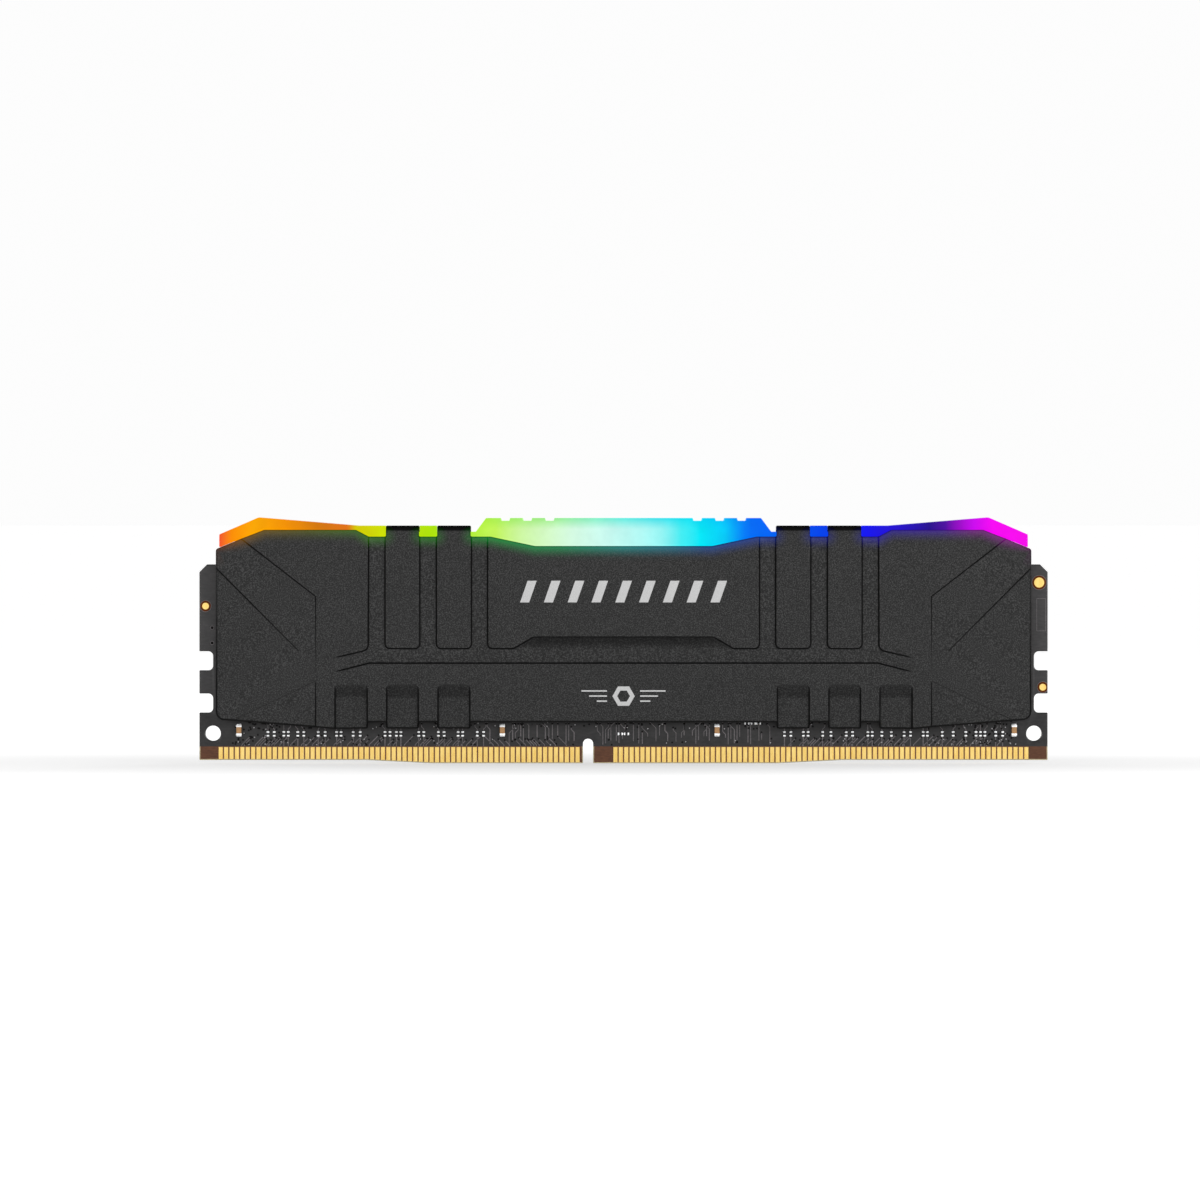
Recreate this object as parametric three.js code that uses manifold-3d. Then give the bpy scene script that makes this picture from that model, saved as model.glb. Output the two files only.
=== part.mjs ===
// A desktop memory module: a double-sided circuit card with gold edge contacts, memory
// chips, and a black two-part metal heat spreader whose straps hold a light bar on top.
// Millimetres. X runs along the card, Y through its thickness (the front faces -Y) and
// Z up. The origin is on the card edge, midway along the card and midway through it.
import * as THREE from "three";
import { mergeVertices } from "three/addons/utils/BufferGeometryUtils.js";
import Module from "manifold-3d";

const wasm = await Module();
wasm.setup();

// ---------------------------------------------------------------- driving dimensions

const BOARD = {
  length: 133.35,
  height: 31.25,
  thickness: 1.4,
  cornerChamfer: 1.2,
  endRise: 0.5, // the card edge is this much higher at its two ends
  leftFlat: 26.3, // length of the raised edge at the left end
  rightFlat: 32.25, // and at the right end
  slopeRun: 10.2, // length over which the raised edge slopes down to the middle
};
const KEY_NOTCH = { x: -5.575, width: 1.6, height: 3.85 };
const LATCH_NOTCH = { heights: [9.45, 16.1], depth: 2.15, width: 3.0, cornerRadius: 0.75 };
const TOOLING_HOLE = { fromEnd: 2.15, height: 4.7, radius: 1.25 };

const CONTACT = { pitch: 0.85, width: 0.65, setback: 0.15, top: 2.55, thickness: 0.05 };
const CONTACT_BUS = 0.12; // height of the tie strip along the pads' tops
const CONTACT_ROWS = [
  { side: "left", first: -63.325, count: 67 },
  { side: "right", first: -1.275, count: 77 },
];

const DRAM = { perSide: 8, pitch: 14.2, width: 7.5, height: 11, bottom: 10.4, depth: 1.1 };
const DRAM_MOULD = { inset: 0.35, depth: 0.8 };
const THERMAL_PAD = { length: 120, bottom: 9.6, top: 22.2, thickness: 0.5 };
const SPD_CHIP = { x: -14.2, z: 7.2, width: 3, height: 2, depth: 0.75 };
const LED_CONTROLLER = { x: 7.1, z: 26.0, width: 5, height: 5, depth: 0.9 };
const CONTROL_MOULD = { inset: 0.12, depth: 0.5 };
const LED = { perSide: 5, pitch: 24.4, width: 2.2, height: 1.4, depth: 1.1, z: 30.2 };
const LED_MOULD = { inset: 0.3, depth: 0.4 };
const CAPACITOR = { width: 0.86, waist: 0.78, height: 1.7, terminal: 0.36, depth: 0.8, z: 5.2 };
const CAPACITOR_PLACES = [-60.45, -19.05, 14.7, 61.4];

const SPREADER = { half: 64, inner: 2.35, channel: 3.15, raised: 3.6 };
const CHANNEL_DEPTH = SPREADER.raised - SPREADER.channel;
const RIBS = [
  { from: 24.0, to: 29.25 },
  { from: 32.1, to: 37.3 },
];
const PANEL_EDGE = { middle: 21.2, outer: 40.1 }; // half-widths where the channels stop
const CROSS_CHANNEL = { bottom: 15.65, top: 18.17, endHalf: 45.6, endBottom: 14.3, endTop: 16.7 };
const MIDDLE_CHAMFER = { lowHalf: 17.3, highHalf: 14.1, low: 18.57, high: 20.05 };
const SCOOP = { top: 12.34, floorTop: 10.16, depth: 0.6, cornerRadius: 0.8 };
const SCOOPS = [...RIBS, { from: 40.1, to: 45.4 }];
const SPREADER_BOTTOM = {
  middle: 6.46,
  tab: 5.48, // the metal reaches lower below each scoop
  outerTab: { half: 45.4, z: 5.41 },
  facetFoot: 5.67,
  cornerStart: { half: 63.0, z: 6.85 },
  cornerMiddle: { half: 63.7, z: 7.0 },
  cornerEnd: 7.5,
};
// Heights of the top edge, and the half-widths where it changes direction.
const SPREADER_TOP = { middle: 34.15, ribs: 35.63, shoulder: 36.77, corner: 34.1, side: 33.0 };
const TOP_TURNS = { middle: 13.9, ribs: 20.9, dip: 40.0, rise: 42.0, shoulder: 56.4, corner: 63.2 };
// The end facets: the inner line that bounds them, and their depths below the raised level
// at three places each, as [half-width, depth, height].
const FACET = {
  innerLine: 48.2,
  upper: [[59.7, 0.35, 35.2], [48.4, 0.18, 26.4], [48.2, 0.12, 15]],
  lower: [[64, 0.73, 31], [50.9, 0.165, 17.8], [48.2, 0.02, 13.1]],
  toe: [[48.2, 0.02, 13.1], [60.2, 0.2, 7.3], [48.2, 0.36, 5.67]],
  diagonalStart: [50.9, 17.8],
  diagonalEnd: [66, 33],
  upperLineStart: [48.2, 26.3],
  upperLineEnd: [66, 40.1],
  toeLineStart: [48.2, 13.1],
  toeLineEnd: [66, 4.5],
  below: 4.0,
};
const STRAP = { top: 37.36, thickness: 0.8, bendRadius: 1.1, seamHalf: 0.1 };

const BAR = {
  coreHalf: 2.2, // half-thickness of the part that goes down between the spreader halves
  coreBottom: 31.55,
  coreHalfLength: 61,
  coreLap: 0.5, // how far the core runs up into the exposed part
  flangeHalf: 3.3, // half-thickness of the exposed part above the metal
  neckHalf: 2.6, // half-thickness under the straps
  gap: 0.12, // clearance over the metal's top edge
  strapClearance: 0.1,
  neckTop: 36.4,
  endHalf: 63.5,
  endTop: 35.97,
  peakHalf: 57.3,
  peakTop: 38.64,
  middleHalf: 21.6,
  middleTop: 38.55,
  middleFoot: 23.2,
  slopeStart: 41.6, // where the top starts to rise towards its outer peak
};
const BAR_NOTCH = { places: [11.6, 15.1, 18.55], width: 1.48, depth: 0.43, taper: 0.15 };

const LABEL = { width: 44, bottom: 7.4, top: 14.9, thickness: 0.1, recess: 0.1, margin: 0.3 };

// -------------------------------------------------------------------------- materials

const look = (color, roughness, metalness) => ({ color, roughness, metalness });
const LOOKS = {
  solderMask: look(0x2e2c2d, 0.5, 0.0),
  gold: look(0xc9a227, 0.3, 1.0),
  moulding: look(0x1d1d1f, 0.6, 0.0),
  ledBody: look(0xe8e8e2, 0.4, 0.0),
  ceramic: look(0x8a6a48, 0.5, 0.0),
  thermalPad: look(0x8d9296, 0.9, 0.0),
  blackMetal: look(0x2a2a2b, 0.45, 0.6),
  frostedPlastic: look(0xd8ffe8, 0.5, 0.0),
  paper: look(0xe6e6e4, 0.7, 0.0),
};

// ---------------------------------------------------------------------------- helpers

// A flat outline in the X-Z plane, thickened between two Y values.
function slab(outline, yFront, yBack) {
  const shape = outline instanceof THREE.Shape ? outline : new THREE.Shape(outline.map(toVector));
  const settings = { depth: yBack - yFront, bevelEnabled: false, curveSegments: 6 };
  const geometry = new THREE.ExtrudeGeometry(shape, settings);
  return geometry.rotateX(Math.PI / 2).translate(0, yBack, 0);
}

// A slab whose back cap is moved to y = floor(x, z), so that it can cut a sloping floor.
function slopedSlab(outline, yFront, floor) {
  const geometry = slab(outline, yFront, yFront + 1);
  const position = geometry.getAttribute("position");
  for (let i = 0; i < position.count; i++) {
    if (position.getY(i) > yFront + 0.5) {
      position.setY(i, floor(position.getX(i), position.getZ(i)));
    }
  }
  return geometry;
}

// An outline in the Y-Z plane, run along X between two values.
function bar(outline, xFrom, xTo) {
  const shape = new THREE.Shape(outline.map(toVector));
  const geometry = new THREE.ExtrudeGeometry(shape, { depth: xTo - xFrom, bevelEnabled: false });
  // The extrusion's x, y and z become the part's y, z and x.
  const turn = new THREE.Matrix4().set(0, 0, 1, xFrom, 1, 0, 0, 0, 0, 1, 0, 0, 0, 0, 0, 1);
  return geometry.applyMatrix4(turn);
}

function box(xFrom, xTo, yFrom, yTo, zFrom, zTo) {
  const geometry = new THREE.BoxGeometry(xTo - xFrom, yTo - yFrom, zTo - zFrom);
  return geometry.translate((xFrom + xTo) / 2, (yFrom + yTo) / 2, (zFrom + zTo) / 2);
}

function toVector([x, y]) {
  return new THREE.Vector2(x, y);
}

function mirrored(points) {
  return points.map(([x, z]) => [-x, z]).reverse();
}

// The plane y(x, z) through three [x, y, z] points.
function planeThrough(a, b, c) {
  const points = [a, b, c].map((p) => new THREE.Vector3(...p));
  const plane = new THREE.Plane().setFromCoplanarPoints(...points);
  const { x, y, z } = plane.normal;
  return (px, pz) => -(plane.constant + x * px + z * pz) / y;
}

// Points of an arc in a 2-D outline, from one angle to another in degrees.
function arc(cx, cz, radius, fromDeg, toDeg, steps = 4) {
  return Array.from({ length: steps + 1 }, (_, i) => {
    const angle = THREE.MathUtils.degToRad(fromDeg + ((toDeg - fromDeg) * i) / steps);
    return [cx + radius * Math.cos(angle), cz + radius * Math.sin(angle)];
  });
}

function solid(geometry) {
  const bare = geometry.clone();
  bare.deleteAttribute("normal");
  bare.deleteAttribute("uv");
  const merged = mergeVertices(bare, 1e-4);
  return new wasm.Manifold(
    new wasm.Mesh({
      numProp: 3,
      vertProperties: merged.getAttribute("position").array,
      triVerts: new Uint32Array(merged.index.array),
    }),
  );
}

function joined(geometries) {
  return geometries.map(solid).reduce((whole, piece) => whole.add(piece));
}

function geometryOf(manifold) {
  const mesh = manifold.getMesh();
  const geometry = new THREE.BufferGeometry();
  geometry.setAttribute("position", new THREE.BufferAttribute(mesh.vertProperties, mesh.numProp));
  geometry.setIndex(new THREE.BufferAttribute(mesh.triVerts, 1));
  const flat = geometry.toNonIndexed();
  flat.computeVertexNormals();
  return flat;
}

const memoryModule = new THREE.Group();

function addPiece(name, geometry, finish, parent = memoryModule) {
  const mesh = new THREE.Mesh(geometry, new THREE.MeshStandardMaterial(finish));
  mesh.name = name;
  parent.add(mesh);
  return mesh;
}

// Both faces of the card carry the same kinds of piece: side -1 is the front.
const faceY = (side, depthFrom, depthTo) => {
  const near = side * (BOARD.thickness / 2 + depthFrom);
  const far = side * (BOARD.thickness / 2 + depthTo);
  return [Math.min(near, far), Math.max(near, far)];
};
const SIDES = { front: -1, back: 1 };

// ----------------------------------------------------------------------- circuit board

function latchNotch(end, z) {
  const { depth, width, cornerRadius: r } = LATCH_NOTCH;
  const edge = (BOARD.length / 2) * end;
  const floor = (BOARD.length / 2 - depth + r) * end;
  const low = z - width / 2 + r;
  const high = z + width / 2 - r;
  const lowCorner = arc(floor, low, r, 270, end > 0 ? 180 : 360, 3);
  const highCorner = arc(floor, high, r, end > 0 ? 180 : 0, 90, 3);
  return [[edge, low - r], ...lowCorner, ...highCorner, [edge, high + r]];
}

function boardOutline() {
  const { height, cornerChamfer, endRise, leftFlat, rightFlat, slopeRun } = BOARD;
  const half = BOARD.length / 2;
  const keyRadius = KEY_NOTCH.width / 2;
  const rightEdge = LATCH_NOTCH.heights.flatMap((z) => latchNotch(1, z));
  const leftEdge = LATCH_NOTCH.heights.flatMap((z) => latchNotch(-1, z)).reverse();
  return [
    [-half, endRise],
    [-half + leftFlat, endRise],
    [-half + leftFlat + slopeRun, 0],
    [KEY_NOTCH.x - keyRadius, 0],
    ...arc(KEY_NOTCH.x, KEY_NOTCH.height - keyRadius, keyRadius, 180, 0, 8),
    [KEY_NOTCH.x + keyRadius, 0],
    [half - rightFlat - slopeRun, 0],
    [half - rightFlat, endRise],
    [half, endRise],
    ...rightEdge,
    [half, height - cornerChamfer],
    [half - cornerChamfer, height],
    [-half + cornerChamfer, height],
    [-half, height - cornerChamfer],
    ...leftEdge,
  ];
}

function circuitBoard() {
  const shape = new THREE.Shape(boardOutline().map(toVector));
  for (const end of [-1, 1]) {
    const hole = new THREE.Path();
    const x = end * (BOARD.length / 2 - TOOLING_HOLE.fromEnd);
    const rim = arc(x, TOOLING_HOLE.height, TOOLING_HOLE.radius, 0, 345, 23);
    hole.setFromPoints(rim.map(toVector));
    shape.holes.push(hole);
  }
  return slab(shape, -BOARD.thickness / 2, BOARD.thickness / 2);
}

// Height of the card edge, which rises a little towards both ends.
function edgeHeight(x) {
  const { length, endRise, leftFlat, rightFlat, slopeRun } = BOARD;
  const flat = x < 0 ? leftFlat : rightFlat;
  const inward = length / 2 - Math.abs(x) - flat;
  return endRise * THREE.MathUtils.clamp(1 - inward / slopeRun, 0, 1);
}

// One row of pads, joined along their tops by a thin tie strip.
function contactRow(row, side) {
  const { pitch, width, setback, top, thickness } = CONTACT;
  const busBottom = top - CONTACT_BUS;
  const outline = [];
  for (let i = 0; i < row.count; i++) {
    const centre = row.first + i * pitch;
    const left = centre - width / 2;
    const bottom = edgeHeight(centre) + setback;
    if (i > 0) outline.push([left, busBottom]);
    outline.push([left, bottom], [left + width, bottom]);
    if (i < row.count - 1) outline.push([left + width, busBottom]);
  }
  outline.push([row.first + (row.count - 1) * pitch + width / 2, top]);
  outline.push([row.first - width / 2, top]);
  return slab(outline, ...faceY(side, 0, thickness));
}

// ---------------------------------------------------------------- parts on the board

// A moulded package: a full-size base with a smaller moulding on it. z is its lower edge.
function chipPackage(x, z, width, height, depth, side, mould = DRAM_MOULD) {
  const { inset } = mould;
  const step = depth - mould.depth;
  const base = box(x - width / 2, x + width / 2, ...faceY(side, 0, step), z, z + height);
  const top = box(
    x - width / 2 + inset,
    x + width / 2 - inset,
    ...faceY(side, 0, depth),
    z + inset,
    z + height - inset,
  );
  return geometryOf(joined([base, top]));
}

function evenly(count, pitch) {
  return Array.from({ length: count }, (_, i) => (i - (count - 1) / 2) * pitch);
}

function addChips(sideName, side) {
  evenly(DRAM.perSide, DRAM.pitch).forEach((x, i) => {
    const geometry = chipPackage(x, DRAM.bottom, DRAM.width, DRAM.height, DRAM.depth, side);
    addPiece(`dram_${sideName}_${i + 1}`, geometry, LOOKS.moulding);
  });
  evenly(LED.perSide, LED.pitch).forEach((x, i) => {
    const bottom = LED.z - LED.height / 2;
    const geometry = chipPackage(x, bottom, LED.width, LED.height, LED.depth, side, LED_MOULD);
    addPiece(`led_${sideName}_${i + 1}`, geometry, LOOKS.ledBody);
  });
}

function addControlChips() {
  const entries = [
    ["spd_eeprom", SPD_CHIP, SIDES.front],
    ["led_controller", LED_CONTROLLER, SIDES.back],
  ];
  for (const [name, chip, side] of entries) {
    const { x, z, width, height, depth } = chip;
    const bottom = z - height / 2;
    const geometry = chipPackage(x, bottom, width, height, depth, side, CONTROL_MOULD);
    addPiece(name, geometry, LOOKS.moulding);
  }
}

// An upright chip capacitor: a ceramic waist between two wider end terminals.
function capacitor(x) {
  const { width, waist, height, terminal, depth, z } = CAPACITOR;
  const half = height / 2;
  const rightSide = [
    [width / 2, -half],
    [width / 2, -half + terminal],
    [waist / 2, -half + terminal],
    [waist / 2, half - terminal],
    [width / 2, half - terminal],
    [width / 2, half],
  ];
  const outline = [...rightSide, ...mirrored(rightSide)].map(([px, pz]) => [x + px, z + pz]);
  return slab(outline, ...faceY(SIDES.front, 0, depth));
}

function thermalPad(side) {
  const { length, bottom, top, thickness } = THERMAL_PAD;
  const chipFace = DRAM.depth;
  const range = faceY(side, chipFace, chipFace + thickness);
  return box(-length / 2, length / 2, ...range, bottom, top);
}

// ---------------------------------------------------------------------- heat spreader

// Right half of the outline, from the middle of the bottom edge to the middle of the top.
function spreaderHalfOutline() {
  const { middle, tab, outerTab, facetFoot, cornerStart, cornerMiddle, cornerEnd } =
    SPREADER_BOTTOM;
  const { half } = SPREADER;
  const top = SPREADER_TOP;
  const turn = TOP_TURNS;
  const tabs = RIBS.flatMap(({ from, to }) => [
    [from, middle],
    [from, tab],
    [to, tab],
    [to, middle],
  ]);
  return [
    ...tabs,
    [PANEL_EDGE.outer, middle],
    [PANEL_EDGE.outer, tab],
    [outerTab.half, outerTab.z],
    [FACET.innerLine, facetFoot],
    [cornerStart.half, cornerStart.z],
    [cornerMiddle.half, cornerMiddle.z],
    [half, cornerEnd],
    [half, top.side],
    [turn.corner, top.corner],
    [turn.shoulder, top.shoulder],
    [turn.rise, top.shoulder],
    [turn.dip, top.ribs],
    [turn.ribs, top.ribs],
    [turn.middle, top.middle],
  ];
}

// A cut in the front face, given for the right half and mirrored for the left.
function bothSides(outline, floor) {
  const outside = -SPREADER.raised - 1;
  return [
    slopedSlab(outline, outside, floor),
    slopedSlab(mirrored(outline), outside, (x, z) => floor(-x, z)),
  ];
}

// The upright channels beside the ribs and the channel that crosses below them.
function channelCuts() {
  const { bottom, top, endHalf, endBottom, endTop } = CROSS_CHANNEL;
  const outside = -SPREADER.raised - 1;
  const channelFloor = () => -SPREADER.channel;
  const above = SPREADER_TOP.shoulder + 1;
  const lap = 0.4; // how far neighbouring cuts run into each other
  const uprights = [
    [PANEL_EDGE.middle, RIBS[0].from],
    [RIBS[0].to, RIBS[1].from],
    [RIBS[1].to, PANEL_EDGE.outer],
  ];
  const cuts = uprights.flatMap(([from, to]) =>
    bothSides([[from, top - lap], [to, top - lap], [to, above], [from, above]], channelFloor),
  );
  const level = PANEL_EDGE.outer;
  const { lowHalf, highHalf, low, high } = MIDDLE_CHAMFER;
  const cross = [
    [-level, bottom],
    [level, bottom],
    [level, top],
    [lowHalf, top],
    [lowHalf - lap, low],
    [lap - lowHalf, low],
    [-lowHalf, top],
    [-level, top],
  ];
  cuts.push(slopedSlab(cross, outside, channelFloor));
  // The crossing channel runs out to nothing at each end, turning down a little.
  const runOut = (x) => {
    const share = Math.min(1, Math.max(0, (x - level) / (endHalf - level)));
    return -SPREADER.channel - CHANNEL_DEPTH * share;
  };
  const start = level - lap / 4;
  const end = [[start, bottom], [endHalf, endBottom], [endHalf, endTop], [start, top]];
  cuts.push(...bothSides(end, runOut));
  // The chamfer under the middle panel.
  const chamferPlane = planeThrough(
    [0, -SPREADER.channel, low],
    [10, -SPREADER.channel, low],
    [0, -SPREADER.raised, high],
  );
  const chamfer = [[lowHalf, low], [highHalf, high], ...mirrored([[lowHalf, low], [highHalf, high]])];
  cuts.push(slopedSlab(chamfer, outside, chamferPlane));
  return cuts;
}

// The scooped pockets along the lower edge: a sloping upper part, then a level floor.
function scoopCuts() {
  const { top, floorTop, depth, cornerRadius: r } = SCOOP;
  const floorY = -SPREADER.raised + depth;
  const slope = planeThrough(
    [0, -SPREADER.raised, top],
    [10, -SPREADER.raised, top],
    [0, floorY, floorTop],
  );
  const below = SPREADER_BOTTOM.tab - 2;
  const lap = 0.02; // the sloping cut starts this much below the level one's top
  return SCOOPS.flatMap(({ from, to }) => {
    const floorCut = [[from, below], [to, below], [to, floorTop], [from, floorTop]];
    const slopeCut = [
      [from, floorTop - lap],
      [to, floorTop - lap],
      ...arc(to - r, top - r, r, 0, 90),
      ...arc(from + r, top - r, r, 90, 180),
    ];
    return [...bothSides(floorCut, () => floorY), ...bothSides(slopeCut, slope)];
  });
}

// The three shallow facets at each end, each a plane set back from the raised level.
function facetCuts() {
  const plane = (places) =>
    planeThrough(...places.map(([x, depth, z]) => [x, -SPREADER.raised + depth, z]));
  const { innerLine, diagonalStart, diagonalEnd, upperLineStart, upperLineEnd } = FACET;
  const { toeLineStart, toeLineEnd, below } = FACET;
  const elbow = [innerLine, diagonalStart[1]];
  const upperFacet = [elbow, diagonalStart, diagonalEnd, upperLineEnd, upperLineStart];
  const lowerFacet = [toeLineStart, toeLineEnd, diagonalEnd, diagonalStart, elbow];
  const toeFacet = [toeLineStart, [innerLine, below], [toeLineEnd[0], below], toeLineEnd];
  return [
    ...bothSides(upperFacet, plane(FACET.upper)),
    ...bothSides(lowerFacet, plane(FACET.lower)),
    ...bothSides(toeFacet, plane(FACET.toe)),
  ];
}

// The straps that carry on up from the ribs and bend back over the light bar.
function straps() {
  const { top, thickness, bendRadius, seamHalf } = STRAP;
  const outer = -SPREADER.raised;
  const root = SPREADER_TOP.middle;
  const bendY = outer + bendRadius;
  const bendZ = top - bendRadius;
  const outline = [
    [outer, root],
    [outer + thickness, root],
    ...arc(bendY, bendZ, bendRadius - thickness, 180, 90, 3),
    [-seamHalf, top - thickness],
    [-seamHalf, top],
    ...arc(bendY, bendZ, bendRadius, 90, 180, 6),
  ];
  return RIBS.flatMap(({ from, to }) => [bar(outline, from, to), bar(outline, -to, -from)]);
}

function spreaderFront() {
  const right = spreaderHalfOutline();
  const plate = solid(slab([...right, ...mirrored(right)], -SPREADER.raised, -SPREADER.inner));
  const cuts = [...channelCuts(), ...scoopCuts(), ...facetCuts()];
  const cut = cuts.map(solid).reduce((whole, piece) => whole.subtract(piece), plate);
  return straps().map(solid).reduce((whole, piece) => whole.add(piece), cut);
}

// The back half is the same stamping turned round, with a shallow seat for the label.
function labelBox(margin, yFrom, yTo) {
  const halfWidth = LABEL.width / 2 + margin;
  return box(-halfWidth, halfWidth, yFrom, yTo, LABEL.bottom - margin, LABEL.top + margin);
}

function spreaderBack(front) {
  const turned = solid(geometryOf(front).rotateZ(Math.PI));
  const floor = SPREADER.raised - LABEL.recess;
  return turned.subtract(solid(labelBox(LABEL.margin, floor, SPREADER.raised + 1)));
}

// -------------------------------------------------------------------------- light bar

// Top edge of the bar from the middle out to its right end.
function barTopEdge() {
  const { width, depth, places, taper } = BAR_NOTCH;
  const points = places.flatMap((x) => [
    [x - width / 2, BAR.middleTop],
    [x - width / 2 + taper, BAR.middleTop - depth],
    [x + width / 2 - taper, BAR.middleTop - depth],
    [x + width / 2, BAR.middleTop],
  ]);
  points.push([BAR.middleHalf, BAR.middleTop], [BAR.middleFoot, BAR.neckTop]);
  const [inner, outer] = RIBS;
  const c = BAR.strapClearance;
  points.push([inner.to + c, BAR.neckTop], [inner.to + c, STRAP.top]);
  points.push([outer.from - c, STRAP.top], [outer.from - c, BAR.neckTop]);
  points.push([outer.to + c, BAR.neckTop], [outer.to + c, STRAP.top]);
  points.push([BAR.slopeStart, STRAP.top], [BAR.peakHalf, BAR.peakTop]);
  points.push([BAR.endHalf, BAR.endTop]);
  return points;
}

// Edge of the bar just above the metal, from its right end in to the middle.
function barLowerEdge() {
  const top = SPREADER_TOP;
  const turn = TOP_TURNS;
  const { gap } = BAR;
  return [
    [BAR.endHalf, top.corner],
    [turn.shoulder, top.shoulder + gap],
    [turn.rise - gap, top.shoulder + gap],
    [turn.dip - gap, top.ribs + gap],
    [turn.ribs - gap, top.ribs + gap],
    [turn.middle - gap, top.middle + gap],
  ];
}

function lightBar() {
  const topEdge = barTopEdge();
  const lowerEdge = barLowerEdge();
  const face = [...mirrored(topEdge), ...topEdge, ...lowerEdge, ...mirrored(lowerEdge)];
  const exposed = solid(slab(face, -BAR.flangeHalf, BAR.flangeHalf));
  const narrowed = strapSeats().map(solid).reduce((whole, seat) => whole.subtract(seat), exposed);
  const coreTop = lowerEdge.map(([x, z]) => [Math.min(x, BAR.coreHalfLength), z + BAR.coreLap]);
  const corner = [BAR.coreHalfLength, BAR.coreBottom];
  const coreHalf = [corner, ...coreTop];
  const core = slab([...coreHalf, ...mirrored(coreHalf)], -BAR.coreHalf, BAR.coreHalf);
  return narrowed.add(solid(core));
}

// Where the straps pass over the bar it is narrower, so that they lie inside its faces.
function strapSeats() {
  const c = BAR.strapClearance;
  const far = BAR.flangeHalf + 1;
  const low = SPREADER_TOP.middle;
  return RIBS.flatMap(({ from, to }) =>
    [[from - c, to + c], [-to - c, -from + c]].flatMap(([left, right]) => [
      box(left, right, -far, -BAR.neckHalf, low, BAR.peakTop),
      box(left, right, BAR.neckHalf, far, low, BAR.peakTop),
    ]),
  );
}

// --------------------------------------------------------------------------- assembly

addPiece("circuit_board", circuitBoard(), LOOKS.solderMask);
for (const [sideName, side] of Object.entries(SIDES)) {
  for (const row of CONTACT_ROWS) {
    addPiece(`contacts_${sideName}_${row.side}`, contactRow(row, side), LOOKS.gold);
  }
  addChips(sideName, side);
  addPiece(`thermal_pad_${sideName}`, thermalPad(side), LOOKS.thermalPad);
}
addControlChips();
CAPACITOR_PLACES.forEach((x, i) => {
  addPiece(`ceramic_capacitor_${i + 1}`, capacitor(x), LOOKS.ceramic);
});
const front = spreaderFront();
addPiece("heat_spreader_front", geometryOf(front), LOOKS.blackMetal);
addPiece("heat_spreader_back", geometryOf(spreaderBack(front)), LOOKS.blackMetal);
addPiece("light_bar", geometryOf(lightBar()), LOOKS.frostedPlastic);
const labelFloor = SPREADER.raised - LABEL.recess;
addPiece("rating_label", labelBox(0, labelFloor, labelFloor + LABEL.thickness), LOOKS.paper);

export default memoryModule;
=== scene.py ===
"""A desktop memory module: black pressed-metal heat spreader, lit bar, card with gold contacts.

Lengths are millimetres unless a name says otherwise, and are turned into metres where a
mesh is made. X runs along the card, the front faces -Y and Z is up.
"""
import itertools
import math
import random

import bmesh
import bpy
import numpy as np
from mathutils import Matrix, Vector
from mathutils.geometry import delaunay_2d_cdt


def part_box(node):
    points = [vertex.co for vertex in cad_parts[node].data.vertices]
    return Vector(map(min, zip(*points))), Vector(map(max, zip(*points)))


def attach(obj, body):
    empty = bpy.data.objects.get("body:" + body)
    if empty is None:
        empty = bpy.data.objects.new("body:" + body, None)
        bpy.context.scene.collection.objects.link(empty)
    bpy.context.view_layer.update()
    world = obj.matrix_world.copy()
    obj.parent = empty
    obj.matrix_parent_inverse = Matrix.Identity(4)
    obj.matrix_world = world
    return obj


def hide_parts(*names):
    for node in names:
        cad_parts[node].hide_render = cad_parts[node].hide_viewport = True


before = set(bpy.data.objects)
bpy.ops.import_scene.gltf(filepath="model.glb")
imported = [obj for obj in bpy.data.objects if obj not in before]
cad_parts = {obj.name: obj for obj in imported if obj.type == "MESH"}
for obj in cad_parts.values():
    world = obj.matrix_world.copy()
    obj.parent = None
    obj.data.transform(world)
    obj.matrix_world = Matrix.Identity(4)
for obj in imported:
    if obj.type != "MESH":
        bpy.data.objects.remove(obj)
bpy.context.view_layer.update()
MM = 0.001
BODY = "root"


def box_mm(node):
    """Lowest and highest corners of a CAD node, in millimetres."""
    low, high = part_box(node)
    return np.array(low) / MM, np.array(high) / MM


# ---- driving dimensions

BOARD_HALF, BOARD_FACE, BOARD_TOP = box_mm("circuit_board")[1]
SPREADER_LOW, SPREADER_HIGH = box_mm("heat_spreader_front")
BAR_LOW, BAR_HIGH = box_mm("light_bar")

RAISED = -SPREADER_LOW[1]  # distance of the raised surfaces from the mid-plane
SHEET = 0.7  # thickness of the pressed metal
CHANNEL_DEPTH = 0.45
WALL = 0.25  # width over which a pressed step goes down
RIBS = ((24.0, 29.25), (32.1, 37.3))
SCOOPS = RIBS + ((40.1, 45.4),)
MIDDLE_PANEL = 21.2
OUTER_PANEL = 40.1
CHANNEL_LOW, CHANNEL_HIGH = 15.65, 18.17
PANEL_SLOPE_TOP, PANEL_SLOPE_FOOT = 20.05, 18.4
SCOOP_TOP, SCOOP_SLOPE, SCOOP_DEPTH = 12.6, 2.4, 0.5
FACET_LINE, FACET_WALL = 48.2, 0.24
FACET_FOOT, FACET_FOOT_DEPTH = 5.67, 0.4
# The metal's top edge: low in the middle, higher round the ribs, highest at the shoulders.
TOP_MIDDLE, TOP_RIBS, TOP_SHOULDER = 34.15, 35.63, 36.77
DIP_FOOT, DIP_TOP = 13.9, 20.9
SHOULDER_FOOT, SHOULDER_START, SHOULDER_END = 40.0, 42.0, 56.4
STRAP_TOP = SPREADER_HIGH[2]
STRAP_BEND = 1.1
STRAP_SEAM = 0.1
BEND_START = STRAP_TOP - STRAP_BEND
BEND_RUN = STRAP_BEND * math.pi / 2
STRAP_END = BEND_START + BEND_RUN + RAISED - STRAP_BEND - STRAP_SEAM

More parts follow.
